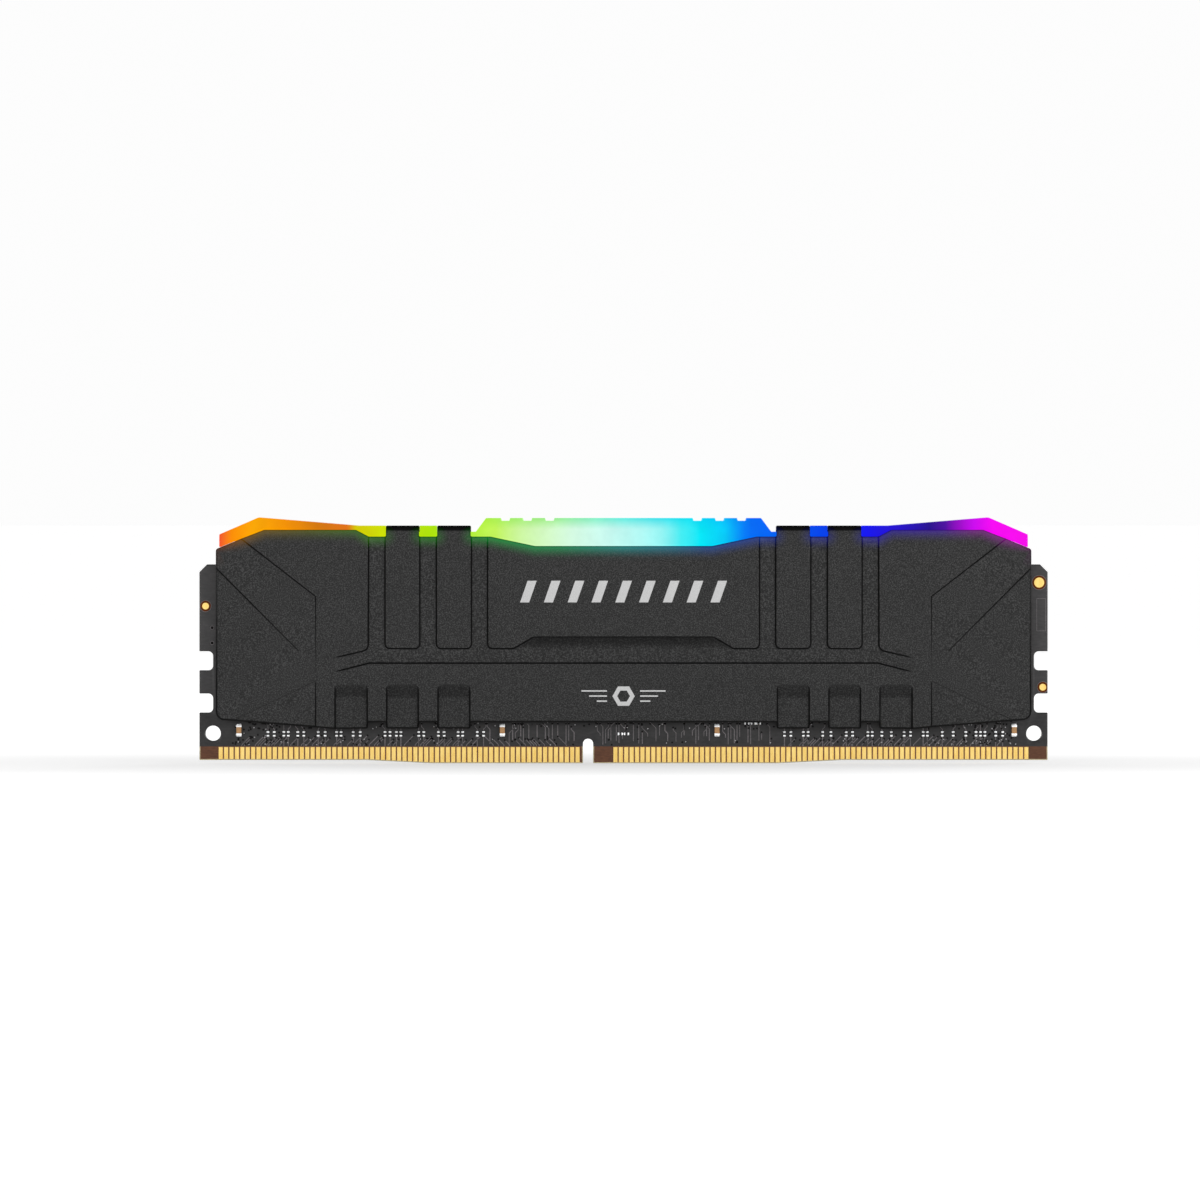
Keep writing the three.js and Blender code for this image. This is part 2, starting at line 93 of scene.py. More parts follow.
KEY_X, KEY_WIDTH, KEY_TOP = -5.575, 1.6, 3.85
CONTACT_PITCH, CONTACT_WIDTH, CONTACT_TOP, CONTACT_SETBACK = 0.85, 0.65, 2.55, 0.15
CONTACT_ROWS = {"left": (-63.325, 67), "right": (-1.275, 77)}
SIDES = (("front", -1), ("back", 1))


# ---- outlines

def rounded(corners, step=math.radians(15)):
    """A closed outline whose (x, z, radius) corners are rounded by arcs."""
    points = []
    for i, (x, z, radius) in enumerate(corners):
        here = np.array((x, z), float)
        to_last = np.array(corners[i - 1][:2]) - here
        to_next = np.array(corners[(i + 1) % len(corners)][:2]) - here
        to_last /= np.linalg.norm(to_last)
        to_next /= np.linalg.norm(to_next)
        half = math.acos(np.clip(to_last @ to_next, -1, 1)) / 2
        if radius <= 0 or half > math.pi / 2 - 0.01:
            points.append(here)
            continue
        bisector = (to_last + to_next) / np.linalg.norm(to_last + to_next)
        centre = here + bisector * radius / math.sin(half)
        start = here + to_last * radius / math.tan(half) - centre
        end = here + to_next * radius / math.tan(half) - centre
        first = math.atan2(start[1], start[0])
        sweep = math.atan2(end[1], end[0]) - first
        sweep = (sweep + math.pi) % (2 * math.pi) - math.pi
        count = max(2, math.ceil(abs(sweep) / step))
        for k in range(count + 1):
            angle = first + sweep * k / count
            points.append(centre + radius * np.array((math.cos(angle), math.sin(angle))))
    return anticlockwise(np.array(points))


def anticlockwise(points):
    x, z = points[:, 0], points[:, 1]
    area = np.sum(x * np.roll(z, -1) - z * np.roll(x, -1))
    return points if area > 0 else points[::-1]


def both_halves(right):
    """Corners of a symmetric outline from its right half, listed from bottom to top."""
    return list(right) + [(-x, *rest) for x, *rest in reversed(right)]


def tooth(first, last, base, tip, base_radius, tip_radius):
    """Corners of a tooth or slot, going out to its tip at first and back at last."""
    corners = [(first, base, base_radius), (first, tip, tip_radius)]
    return corners + [(last, tip, tip_radius), (last, base, base_radius)]


def inset(outline, distance):
    """A closed outline moved inwards by a distance, keeping its corners mitred."""
    edge = np.roll(outline, -1, axis=0) - outline
    edge /= np.linalg.norm(edge, axis=1, keepdims=True)
    normal = np.column_stack((-edge[:, 1], edge[:, 0]))
    last = np.roll(normal, 1, axis=0)
    share = 1 + np.sum(normal * last, axis=1, keepdims=True)
    return outline + (normal + last) / np.maximum(share, 0.2) * distance


def depth_inside(points, outline):
    """Distance of each point to an outline: positive inside it, negative outside."""
    x, z = points[:, 0], points[:, 1]
    nearest = np.full(len(points), np.inf)
    inside = np.zeros(len(points), bool)
    for (ax, az), (bx, bz) in zip(outline, np.roll(outline, -1, axis=0)):
        nearest = np.minimum(nearest, segment_distance(points, (ax, az), (bx, bz)))
        if az != bz:
            crosses = (az > z) != (bz > z)
            inside ^= crosses & (x < ax + (z - az) * (bx - ax) / (bz - az))
    return np.where(inside, nearest, -nearest)


def segment_distance(points, start, end):
    start, end = np.array(start, float), np.array(end, float)
    along = end - start
    share = np.clip((points - start) @ along / max(along @ along, 1e-12), 0, 1)
    return np.linalg.norm(points - start - share[:, None] * along, axis=1)


def smooth(value):
    value = np.clip(value, 0, 1)
    return value * value * (3 - 2 * value)


def hump(value, start, full, fading, end):
    """0 up to start, 1 from full to fading and 0 again from end, with soft changes."""
    rise = smooth((value - start) / (full - start))
    return rise * (1 - smooth((value - fading) / (end - fading)))


def inside_share(points, outline, wall):
    """0 outside an outline, rising to 1 over the width of its wall."""
    return smooth(depth_inside(points, outline) / wall)


def folded(points):
    """Points with those on the left mirrored on to the right."""
    return np.column_stack((np.abs(points[:, 0]), points[:, 1]))


def rings(outline, distances):
    return [(inset(outline, d), True) for d in distances]


def line(*points):
    return np.array(points, float), False


# ---- meshes

def triangulate(outline, holes=(), guides=()):
    """Triangles that fill an outline, with edges along its holes and guide lines."""
    coords, edges = [], []
    for points, closed in [(outline, True), *[(h, True) for h in holes], *guides]:
        first, count = len(coords), len(points)
        coords.extend(Vector(p) for p in points)
        last = count if closed else count - 1
        edges.extend((first + i, first + (i + 1) % count) for i in range(last))
    found = delaunay_2d_cdt(coords, edges, [], 0, 1e-4)
    points = np.array([tuple(v) for v in found[0]])
    triangles = np.array([f for f in found[2] if len(f) == 3])
    centre = points[triangles].mean(axis=1)
    keep = depth_inside(centre, outline) > 0
    for hole in holes:
        keep &= depth_inside(centre, hole) < 0
    triangles = triangles[keep]
    used, flat = np.unique(triangles, return_inverse=True)
    points, triangles = points[used], flat.reshape(-1, 3)
    a, b, c = (points[triangles[:, k]] for k in range(3))
    turned = (b - a)[:, 0] * (c - a)[:, 1] - (b - a)[:, 1] * (c - a)[:, 0] < 0
    triangles[turned] = triangles[turned][:, ::-1]
    return points, triangles


def closed_sheet(triangles, front, back):
    """Vertices and faces of a solid between two copies of one flat triangulation."""
    count = len(front)
    pairs = np.vstack((triangles[:, [0, 1]], triangles[:, [1, 2]], triangles[:, [2, 0]]))
    seen = {tuple(pair) for pair in pairs}
    rim = [(a, b) for a, b in seen if (b, a) not in seen]
    faces = [tuple(t) for t in triangles]
    faces += [tuple(t[::-1] + count) for t in triangles]
    faces += [(b, a, a + count, b + count) for a, b in rim]
    return np.vstack((front, back)), faces


def symmetric_solid(points, triangles, half):
    """Vertices and faces of a solid that reaches equally far to the front and the back."""
    front, back = (np.column_stack((points[:, 0], y, points[:, 1])) for y in (-half, half))
    return closed_sheet(triangles, front, back)


def mesh_object(name, vertices_mm, faces, materials, sharp_degrees=40):
    mesh = bpy.data.meshes.new(name)
    mesh.from_pydata([tuple(v) for v in np.asarray(vertices_mm) * MM], [], faces)
    for material in materials:
        mesh.materials.append(material)
    mesh.polygons.foreach_set("use_smooth", [True] * len(mesh.polygons))
    mesh.set_sharp_from_angle(angle=math.radians(sharp_degrees))
    mesh.update()
    piece = bpy.data.objects.new(name, mesh)
    bpy.context.scene.collection.objects.link(piece)
    weighted = piece.modifiers.new("weighted_normals", "WEIGHTED_NORMAL")
    weighted.keep_sharp = True
    return piece


def edge_drop(distance, radius):
    """How far a rounded edge has dropped at a distance inside it."""
    share = np.clip(1 - distance / radius, 0, 1)
    return radius * (1 - np.sqrt(1 - share * share))


def edge_rings(outline, radius, steps=4):
    angles = [math.pi / 2 * k / steps for k in range(1, steps + 1)]
    return rings(outline, [radius * (1 - math.cos(a)) for a in angles])


def place_piece(piece, slot, *nodes):
    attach(piece, BODY)
    if nodes:
        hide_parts(*nodes)


# ---- materials

class Nodes:
    """The node tree of a material or a world, built up with short calls."""

    def __init__(self, owner):
        owner.use_nodes = True
        self.tree = owner.node_tree

    def node(self, kind, settings=None, **inputs):
        made = self.tree.nodes.new(kind)
        for key, value in (settings or {}).items():
            setattr(made, key, value)
        for key, value in inputs.items():
            self.feed(made.inputs[key.replace("_", " ")], value)
        return made

    def feed(self, socket, value):
        if hasattr(value, "is_output"):
            self.tree.links.new(value, socket)
        elif isinstance(value, tuple) and len(value) == 3 and socket.type == "RGBA":
            socket.default_value = (*value, 1)
        else:
            socket.default_value = value

    def position(self):
        return self.node("ShaderNodeTexCoord").outputs["Object"]

    def axis(self, index):
        split = self.node("ShaderNodeSeparateXYZ", Vector=self.position())
        return split.outputs[index]

    def noise(self, size_mm, detail=2.0, stretch=(1, 1, 1)):
        """Noise whose grains are about size_mm across, stretched along each axis."""
        scaled = self.node("ShaderNodeMapping", Vector=self.position())
        scaled.inputs["Scale"].default_value = [1 / (s * size_mm * MM) for s in stretch]
        made = self.node("ShaderNodeTexNoise", Vector=scaled.outputs[0], Scale=1.0)
        made.inputs["Detail"].default_value = detail
        return made.outputs["Fac"]

    def spread(self, value, low, high, from_low=0.3, from_high=0.7, kind="LINEAR"):
        made = self.node("ShaderNodeMapRange", {"interpolation_type": kind}, Value=value)
        for socket, number in zip(made.inputs[1:5], (from_low, from_high, low, high)):
            socket.default_value = number
        return made.outputs["Result"]

    def ramp(self, value, stops, interpolation="LINEAR"):
        made = self.node("ShaderNodeValToRGB", Fac=value)
        made.color_ramp.interpolation = interpolation
        elements = made.color_ramp.elements
        while len(elements) < len(stops):
            elements.new(1.0)
        for element, (place, colour) in zip(elements, stops):
            element.position = place
            element.color = (*colour, 1)
        return made.outputs["Color"]

    def blend(self, value, low, high):
        """A colour between two as a noise value goes from low to high."""
        return self.ramp(self.spread(value, 0, 1), [(0, low), (1, high)])

    def mix(self, share, first, second, blend="MIX"):
        made = self.node("ShaderNodeMix", {"data_type": "RGBA", "blend_type": blend})
        self.feed(made.inputs[0], share)
        self.feed(made.inputs[6], first)
        self.feed(made.inputs[7], second)
        return made.outputs[2]

    def math(self, operation, *values):
        made = self.node("ShaderNodeMath", {"operation": operation})
        for socket, value in zip(made.inputs, values):
            self.feed(socket, value)
        return made.outputs[0]


class Shader(Nodes):
    """A material and the nodes that feed its surface."""

    def __init__(self, name):
        self.material = bpy.data.materials.new(name)
        super().__init__(self.material)
        self.surface = self.tree.nodes["Principled BSDF"]

    def set(self, **inputs):
        for key, value in inputs.items():
            self.feed(self.surface.inputs[key.replace("_", " ")], value)
        return self

    def bump(self, height, distance_mm, strength):
        made = self.node("ShaderNodeBump", Height=height, Strength=strength)
        made.inputs["Distance"].default_value = distance_mm * MM
        self.set(Normal=made.outputs["Normal"])
        return self


def grey(level):
    return (level, level, level)


def srgb(red, green, blue):
    """A linear colour from 0-255 display values."""
    def linear(value):
        value /= 255
        return value / 12.92 if value <= 0.04045 else ((value + 0.055) / 1.055) ** 2.4
    return tuple(linear(v) for v in (red, green, blue))


# Colours along the bar, as (place in mm from the middle, display colour).
BAR_EDGE_COLOURS = [
    (-63.5, (249, 84, 45)), (-61.5, (251, 142, 2)), (-58, (254, 170, 2)),
    (-53, (246, 148, 3)), (-48, (212, 120, 12)), (-43.2, (224, 112, 24)),
    (-42, (212, 200, 5)), (-38, (208, 226, 3)), (-30, (174, 230, 9)), (-23, (180, 242, 50)),
    (-18, (160, 240, 95)), (-11, (150, 238, 130)), (-5, (120, 240, 190)),
    (0, (75, 238, 226)), (5, (10, 230, 240)), (10, (2, 231, 248)),
    (12.5, (2, 215, 250)), (15, (3, 200, 251)), (17.5, (3, 155, 251)),
    (20, (3, 108, 250)), (24, (3, 100, 249)), (31, (3, 67, 236)),
    (38, (22, 22, 242)), (43, (40, 20, 205)), (48, (40, 18, 142)), (50.5, (78, 16, 160)),
    (53, (162, 12, 205)), (55, (205, 9, 240)), (58, (248, 6, 245)),
    (63.5, (247, 12, 235)),
]
BAR_CORE_COLOURS = [
    (-24, (184, 243, 66)), (-20, (196, 247, 92)), (-16, (208, 250, 165)),
    (-12, (214, 252, 200)), (-8, (214, 252, 228)), (-3, (204, 252, 242)),
    (3, (178, 251, 247)), (6, (150, 248, 247)), (9, (70, 242, 248)),
    (12, (2, 233, 249)), (16, (3, 205, 251)), (19, (3, 118, 250)),
]
GLOW_COLOURS = [
    (-63.5, (120, 60, 6)), (-57, (110, 84, 4)), (-50, (82, 86, 6)), (-40, (50, 110, 20)),
    (-30, (30, 130, 20)), (-22.5, (13, 139, 44)), (-10, (10, 138, 78)), (0, (15, 133, 129)),
    (8, (14, 110, 135)), (13, (9, 70, 138)), (24, (22, 45, 140)), (40, (33, 21, 142)),
    (50, (62, 18, 140)), (55, (118, 21, 131)), (63.5, (130, 20, 125)),
]
BAR_REACH = 64.0


def along_bar(shader, colours):
    """A colour that changes with the distance along the bar."""
    place = shader.spread(shader.axis(0), 0, 1, -BAR_REACH * MM, BAR_REACH * MM)
    stops = [((x + BAR_REACH) / (2 * BAR_REACH), srgb(*c)) for x, c in colours]
    return shader.ramp(place, stops)


def black_metal():
    """Bead-blasted black metal, with painted shade in its pressed steps and painted light from the
    lit bar spilt on to it.
    """
    shader = Shader("anodised_black_metal")
    grain = shader.noise(0.17, 2)
    clouds = shader.noise(9.0, 2)
    speckled = shader.spread(grain, 0, 1, 0.36, 0.64)
    tone = shader.ramp(speckled, [(0, grey(0.001)), (0.5, grey(0.0105)), (1, grey(0.039))])
    worn = shader.blend(clouds, grey(0.92), grey(1.06))
    base = shader.mix(1.0, tone, worn, "MULTIPLY")
    # painted shade from the step attribute: a darker base, more roughness and less specular
    step = shader.node("ShaderNodeAttribute", {"attribute_name": "step"}).outputs["Fac"]
    base = shader.mix(step, base, grey(0.0008))
    # painted light spilt from the bar, from the glow attribute: emission over a darkened base
    glow = shader.node("ShaderNodeAttribute", {"attribute_name": "glow"}).outputs["Fac"]
    base = shader.mix(glow, base, grey(0.001))
    shade_roughness = shader.math("MULTIPLY", step, 0.3)
    roughness = shader.math("ADD", shader.spread(grain, 0.46, 0.6), shade_roughness)
    shine = shader.spread(step, 0.27, 0.03, 0.0, 1.0)
    shader.set(Base_Color=base, Specular_IOR_Level=shine, Roughness=roughness)
    shader.set(Emission_Color=along_bar(shader, GLOW_COLOURS), Emission_Strength=glow)
    return shader.bump(grain, 0.034, 0.95).material


def shaded_step_metal():
    """A near-black copy of the metal, painted shade on the walls of the pressed steps, where
    little light reaches.
    """
    shader = Shader("black_metal_painted_shade")
    grain = shader.noise(0.15, 2)
    tone = shader.blend(grain, grey(0.0005), grey(0.004))
    shader.set(Base_Color=tone, Specular_IOR_Level=0.1, Roughness=shader.spread(grain, 0.6, 0.75))
    return shader.bump(grain, 0.01, 0.6).material


def light_bar_plastic():
    """Frosted plastic lit from inside, palest low in its middle."""
    shader = Shader("frosted_light_bar")
    edge = along_bar(shader, BAR_EDGE_COLOURS)
    core = along_bar(shader, BAR_CORE_COLOURS)
    from_middle = shader.math("ABSOLUTE", shader.math("ADD", shader.axis(0), 0.003))
    near_middle = shader.spread(from_middle, 1, 0, 0.018, 0.025)
    top_share = shader.spread(shader.axis(2), 1, 0, 0.0368, 0.0387)
    share = shader.math("MULTIPLY", near_middle, top_share)
    soft = shader.noise(2.2, 2)
    colour = shader.mix(share, edge, core)
    shader.set(Base_Color=grey(0.001), Roughness=0.4, Specular_IOR_Level=0.012)
    shader.set(Emission_Color=colour, Emission_Strength=shader.spread(soft, 0.94, 1.02))
    return shader.bump(shader.noise(0.12, 2), 0.008, 0.5).material


STRIP_EDGE = (0.0075, 0.0095)  # heights in metres between which the painted shade on the low strip ends


def solder_mask():
    """Black lacquer over glass weave, with painted shade darkening the low strip near the
    contacts, below the spreader.
    """
    shader = Shader("black_solder_mask")
    weave = shader.noise(0.35, 3, (3, 1, 1))
    blotch = shader.noise(2.5, 2)
    tone = shader.blend(weave, srgb(24, 23, 24), srgb(48, 46, 47))
    cloud = shader.blend(blotch, grey(0.7), grey(1.1))
    height = shader.axis(2)
    # painted shade: the low strip below the spreader is darker and less shiny
    strip = shader.spread(height, 0.55, 1, *STRIP_EDGE)
    shaded = shader.node("ShaderNodeCombineXYZ", X=strip, Y=strip, Z=strip).outputs[0]
    colour = shader.mix(1.0, shader.mix(1.0, tone, cloud, "MULTIPLY"), shaded, "MULTIPLY")
    shine = shader.spread(height, 0.33, 0.45, *STRIP_EDGE)
    shader.set(Base_Color=colour, Specular_IOR_Level=shine)
    shader.set(Roughness=shader.spread(weave, 0.38, 0.52), Coat_Weight=0.15, Coat_Roughness=0.3)
    return shader.bump(weave, 0.006, 0.5).material


def plain_grained(name, low, high, roughness, grain_mm, bump_mm, metallic=0.0,
                  stretch=(1, 1, 1), specular=0.5):
    """A material of two close colours mixed by fine grain, with matching relief."""
    shader = Shader(name)
    grain = shader.noise(grain_mm, 3, stretch)
    colour = shader.blend(grain, srgb(*low), srgb(*high))
    rough = shader.spread(grain, roughness - 0.06, roughness + 0.06)
    shader.set(Base_Color=colour, Roughness=rough, Metallic=metallic, Specular_IOR_Level=specular)
    return shader.bump(grain, bump_mm, 0.6).material


METAL = black_metal()
SHADED_STEP_METAL = shaded_step_metal()
BAR_PLASTIC = light_bar_plastic()
MASK = solder_mask()
SUBSTRATE = plain_grained("bare_laminate", (72, 42, 26), (92, 58, 38), 0.6, 0.16, 0.01,
                          stretch=(4, 1, 1), specular=0.25)
BEVEL = plain_grained("laminate_bevel", (150, 138, 104), (186, 174, 138), 0.6, 0.12, 0.006,
                      stretch=(4, 1, 1))
GAP = plain_grained("laminate_between_contacts", (82, 44, 20), (108, 62, 32), 0.5, 0.14, 0.006)
RING = plain_grained("laminate_ring", (78, 37, 12), (102, 52, 20), 0.7, 0.14, 0.006,
                     specular=0.05)
LAMINATE_EDGE = plain_grained("laminate_edge", (44, 38, 32), (70, 60, 48), 0.7, 0.12, 0.01,
                              stretch=(6, 1, 6))
GOLD = plain_grained("gold_plate", (247, 205, 112), (255, 224, 140), 0.3, 0.4, 0.003, 1.0,
                     stretch=(1, 1, 6))
TRACE = plain_grained("masked_trace", (70, 66, 68), (96, 91, 93), 0.42, 0.2, 0.004)
VIA = plain_grained("via_fill", (8, 7, 7), (22, 20, 20), 0.6, 0.08, 0.004, specular=0.08)
DULL_SOLDER = plain_grained("dull_solder", (128, 126, 128), (170, 168, 170), 0.45, 0.1, 0.004, 0.2)
SOLDER = plain_grained("solder", (236, 238, 240), (254, 254, 254), 0.38, 0.1, 0.004, 0.1)
CERAMIC = plain_grained("capacitor_ceramic", (140, 102, 62), (172, 130, 84), 0.5, 0.1, 0.004)
RESISTOR = plain_grained("resistor_glaze", (24, 24, 26), (44, 44, 48), 0.35, 0.07, 0.003)
MOULDING = plain_grained("chip_moulding", (24, 24, 25), (40, 40, 41), 0.6, 0.12, 0.01)
LED_CASE = plain_grained("led_case", (214, 214, 206), (240, 240, 232), 0.45, 0.15, 0.004)
PAD_RUBBER = plain_grained("thermal_pad_rubber", (128, 134, 140), (150, 156, 162), 0.85, 0.3, 0.03)
PRINT = plain_grained("pale_print", (168, 168, 168), (190, 190, 190), 0.6, 0.15, 0.004)
PAPER = plain_grained("label_paper", (214, 214, 212), (228, 228, 226), 0.65, 0.2, 0.004)
INK = plain_grained("label_ink", (60, 60, 62), (76, 76, 78), 0.6, 0.15, 0.002)


# ---- camera and stage

# The view spans this width at the module, whose middle is right of and below its centre.
VIEW_WIDTH, VIEW_LEFT, VIEW_HEIGHT = 188.25, 3.7, 25.65
CAMERA_DISTANCE, CAMERA_RISE = 1500.0, 12.0
BACKDROP, FRONT_LIGHT, SIDE_LIGHT, ZENITH_SHARE = 0.98, 1.35, 0.4, 0.05
FLOOR_NEAR, FLOOR_FAR, FLOOR_HALF = 0.58, 0.94, 200000
LIGHT_SIZE, LIGHT_TARGET = (420, 360), (0, 0, 20)
LIGHTS = (
    ("fill", (-560, -700, 260), 2.6), ("key", (620, -660, 200), 4.2),
    ("back_key", (560, 700, 260), 4.2), ("back_fill", (-620, 660, 200), 2.6),
)


def add_camera():
    data = bpy.data.cameras.new("camera")
    camera = bpy.data.objects.new("camera", data)
    bpy.context.scene.collection.objects.link(camera)
    target = Vector((-VIEW_LEFT, 0, VIEW_HEIGHT)) * MM
    camera.location = target + Vector((0, -CAMERA_DISTANCE, CAMERA_RISE)) * MM
    camera.rotation_euler = (target - camera.location).to_track_quat("-Z", "Y").to_euler()
    data.angle = 2 * math.atan(VIEW_WIDTH / 2 / (CAMERA_DISTANCE - RAISED))
    data.clip_start, data.clip_end = 0.05, 400
    bpy.context.scene.camera = camera


def add_light(name, place, power):
    data = bpy.data.lights.new(name, "AREA")
    data.shape = "RECTANGLE"
    data.size, data.size_y = (value * MM for value in LIGHT_SIZE)
    data.energy = power
    light = bpy.data.objects.new(name, data)
    light.location = Vector(place) * MM
    aim = Vector(LIGHT_TARGET) * MM - light.location
    light.rotation_euler = aim.to_track_quat("-Z", "Y").to_euler()
    bpy.context.scene.collection.objects.link(light)


def add_world():
    """White to the camera; as light it is brightest ahead and behind and dim overhead."""
    world = bpy.data.worlds.new("studio")
    nodes = Nodes(world)
    seen, output = (nodes.tree.nodes[name] for name in ("Background", "World Output"))
    nodes.feed(seen.inputs["Color"], grey(BACKDROP))
    direction = nodes.node("ShaderNodeTexCoord").outputs["Generated"]
    split = nodes.node("ShaderNodeSeparateXYZ", Vector=direction).outputs
    facing = nodes.math("ABSOLUTE", split["Y"])
    by_height = nodes.spread(split["Z"], 1.0, ZENITH_SHARE, 0.05, 0.6, "SMOOTHSTEP")
    by_side = nodes.spread(facing, SIDE_LIGHT, FRONT_LIGHT, 0.1, 0.9, "SMOOTHSTEP")
    strength = nodes.math("MULTIPLY", by_height, by_side)
    cast = nodes.node("ShaderNodeBackground", Strength=strength)
    to_camera = nodes.node("ShaderNodeLightPath").outputs["Is Camera Ray"]
    mixed = nodes.node("ShaderNodeMixShader", Fac=to_camera)
    nodes.feed(mixed.inputs[1], cast.outputs[0])
    nodes.feed(mixed.inputs[2], seen.outputs[0])
    nodes.feed(output.inputs["Surface"], mixed.outputs[0])
    bpy.context.scene.world = world


def add_floor():
    """A pale floor with a painted soft shadow round the module, and as bright as the backdrop
    beyond.
    """
    shader = Shader("pale_floor")
    speckle = shader.noise(40, 2)
    tone = shader.ramp(speckle, [(0, grey(0.28)), (1, grey(0.32))])
    shader.set(Base_Color=tone, Roughness=0.9, Specular_IOR_Level=0.1)
    across = shader.math("MULTIPLY", shader.axis(0), 0.4)
    distance = shader.math("POWER", across, 2.0)
    distance = shader.math("ADD", distance, shader.math("POWER", shader.axis(1), 2.0))
    distance = shader.math("SQRT", distance)
    # weaker emission near the module paints a soft shadow round it
    strength = shader.spread(distance, FLOOR_NEAR, FLOOR_FAR, 0.0, 0.09)
    shader.set(Emission_Color=grey(1.0), Emission_Strength=strength)
    signs = ((-1, -1), (1, -1), (1, 1), (-1, 1))
    corners = [(x * FLOOR_HALF, y * FLOOR_HALF, 0) for x, y in signs]
    floor = mesh_object("floor", corners, [(0, 1, 2, 3)], [shader.material])


def set_stage():
    bpy.context.scene.view_settings.view_transform = "Standard"
    bpy.context.scene.view_settings.look = "None"
    add_camera()
    add_world()
    add_floor()
    for light in LIGHTS:
        add_light(*light)


# ---- heat spreader

# Where the mesh gets an edge: shares of a step, scoop or panel fall, then millimetres.
STEP_SHARES = (0.0, 0.12, 0.28, 0.5, 0.72, 0.88, 1.0)
SCOOP_SHARES = (0.06, 0.14, 0.25, 0.4, 0.6, 0.8, 0.9, 1.0)
PANEL_SHARES = (0.08, 0.18, 0.3, 0.45, 0.65, 0.85, 1.0)
TOE_DROPS = (-0.1, -0.02, 0.06, 0.14, 0.22, 0.3)
GLOW_DISTANCES = (0.3, 0.6, 0.9, 1.3, 1.8, 2.4, 3.0)
EDGE_RADIUS = 0.2

# How much painted shade the material puts in each place: shares of full shade, and where they
# hold.
SLOPE_LEVEL, SLOPE_RANGE, SLOPE_POWER = 0.2, 0.55, 0.8
EDGE_SHADE, RIM_STRENGTH, RIM_LEAST = 0.36, 1.6, 0.35  # the rim's painted shadow line and its width
RIM_FADE_START, RIM_FADE = 8.0, 4.0  # heights over which that line weakens
SCOOP_SHADE, SCOOP_SLOPE_SHADE = 0.04, 0.28  # painted shade on scoop floors, and how much more on their slopes
SCOOP_DARK = (0, 0.5, 1.95, 2.45)  # distances below a scoop's top
PANEL_SHADE = 0.5  # painted shade on the slope under the edge of the middle panel
BEND_DARK = (12, 24, 55, 80)  # painted dark reflection on the strap bends, by degrees through which a strap has turned
WALL_DARKNESS = 0.8  # faces with more painted shade than this get the shaded copy of the metal, but not in the glow


def spreader_outline():
    """The pressed sheet laid flat: its straps run straight up before they are bent."""
    middle_low, tab_low = 6.46, 5.48
    right = []
    for start, end in RIBS:
        right += tooth(start, end, middle_low, tab_low, 0.1, 0.35)
    right += [(OUTER_PANEL, middle_low, 0.1), (OUTER_PANEL, tab_low, 0.35), (45.4, 5.41, 0.4)]
    right += [(FACET_LINE, FACET_FOOT, 0), (SPREADER_HIGH[0], 6.93, 1.3)]
    right += [(SPREADER_HIGH[0], 33.66, 0.5), (SHOULDER_END, TOP_SHOULDER, 0.5)]
    right += [(SHOULDER_START, TOP_SHOULDER, 0.4), (SHOULDER_FOOT, TOP_RIBS, 0.4)]
    for start, end in reversed(RIBS):
        right += tooth(end, start, TOP_RIBS, STRAP_END, 0.2, 0.15)
    right += [(DIP_TOP, TOP_RIBS, 1.0), (DIP_FOOT, TOP_MIDDLE, 1.0)]
    return rounded(both_halves(right))


def channel_outline():
    """The lowered band under the ribs and the lowered strips between them."""
    above, end = 46.0, 46.6
    right = [(39.9, CHANNEL_LOW, 1.2), (end, 13.95, 0), (end, 16.45, 0)]
    right += [(OUTER_PANEL + 0.1, 17.95, 0.9), (OUTER_PANEL, above, 0)]
    for start, stop in reversed(RIBS):
        right += tooth(stop, start, above, CHANNEL_HIGH, 0, 0.65)
    right += [(MIDDLE_PANEL, above, 0), (MIDDLE_PANEL, CHANNEL_HIGH, 0.65)]
    right += [(17.3, CHANNEL_HIGH, 0.8), (14.1, PANEL_SLOPE_TOP, 0.8)]
    return rounded(both_halves(right))


def scoop_outline(start, end):
    below = 2.0
    corners = [(start, below, 0), (end, below, 0), (end, SCOOP_TOP, 0.8), (start, SCOOP_TOP, 0.8)]
    return rounded(corners)


def end_outline():
    """The faceted end area, bounded by an upright line and a line up to the top corner."""
    far = 70
    corners = [(FACET_LINE, 2), (far, 2), (far, 43.2), (59.7, 35.2), (FACET_LINE, 26.3)]
    return rounded([(x, z, 0) for x, z in corners])


LABEL_LOW, LABEL_HIGH = box_mm("rating_label")
LABEL_MARGIN, LABEL_SEAT, LABEL_WALL = 0.3, 0.1, 0.12


def label_outline():
    """The shallow seat of the label, a little larger than the label itself."""
    x = LABEL_HIGH[0] + LABEL_MARGIN
    low, high = LABEL_LOW[2] - LABEL_MARGIN, LABEL_HIGH[2] + LABEL_MARGIN
    return rounded(both_halves([(x, low, 0.6), (x, high, 0.6)]))


def plane_value(points, places):
    """Value at each point of the plane through three (x, z, value) places."""
    rows = np.array([(x, z, 1.0) for x, z, _ in places])
    slope_x, slope_z, base = np.linalg.solve(rows, [value for _, _, value in places])
    return slope_x * points[:, 0] + slope_z * points[:, 1] + base


# Three (x, z, depth) places on the facet between the upright line and the top corner.
UPPER_FACET = ((59.7, 35.2, 0.34), (48.4, 26.4, 0.16), (48.2, 15.0, 0.03))
DIAGONAL_START = (50.9, 17.8)  # a 45 degree line runs from here up to the side
DIAGONAL_STEP, DIAGONAL_RUN = 0.35, 26.3
DIAGONAL_FIRST, DIAGONAL_RISE = 0.16, 0.06  # share of the step at its start, reached early on
TOE_LINE, TOE_FAR = ((FACET_LINE, 13.1), (60.2, 7.3)), (70, 2.45)
TOE_STEP, TOE_WALL = 0.035, 0.008
CHANNEL_FADE_START, CHANNEL_FADE = 42.6, 3.2
PANEL_SLOPE_END = 17.6


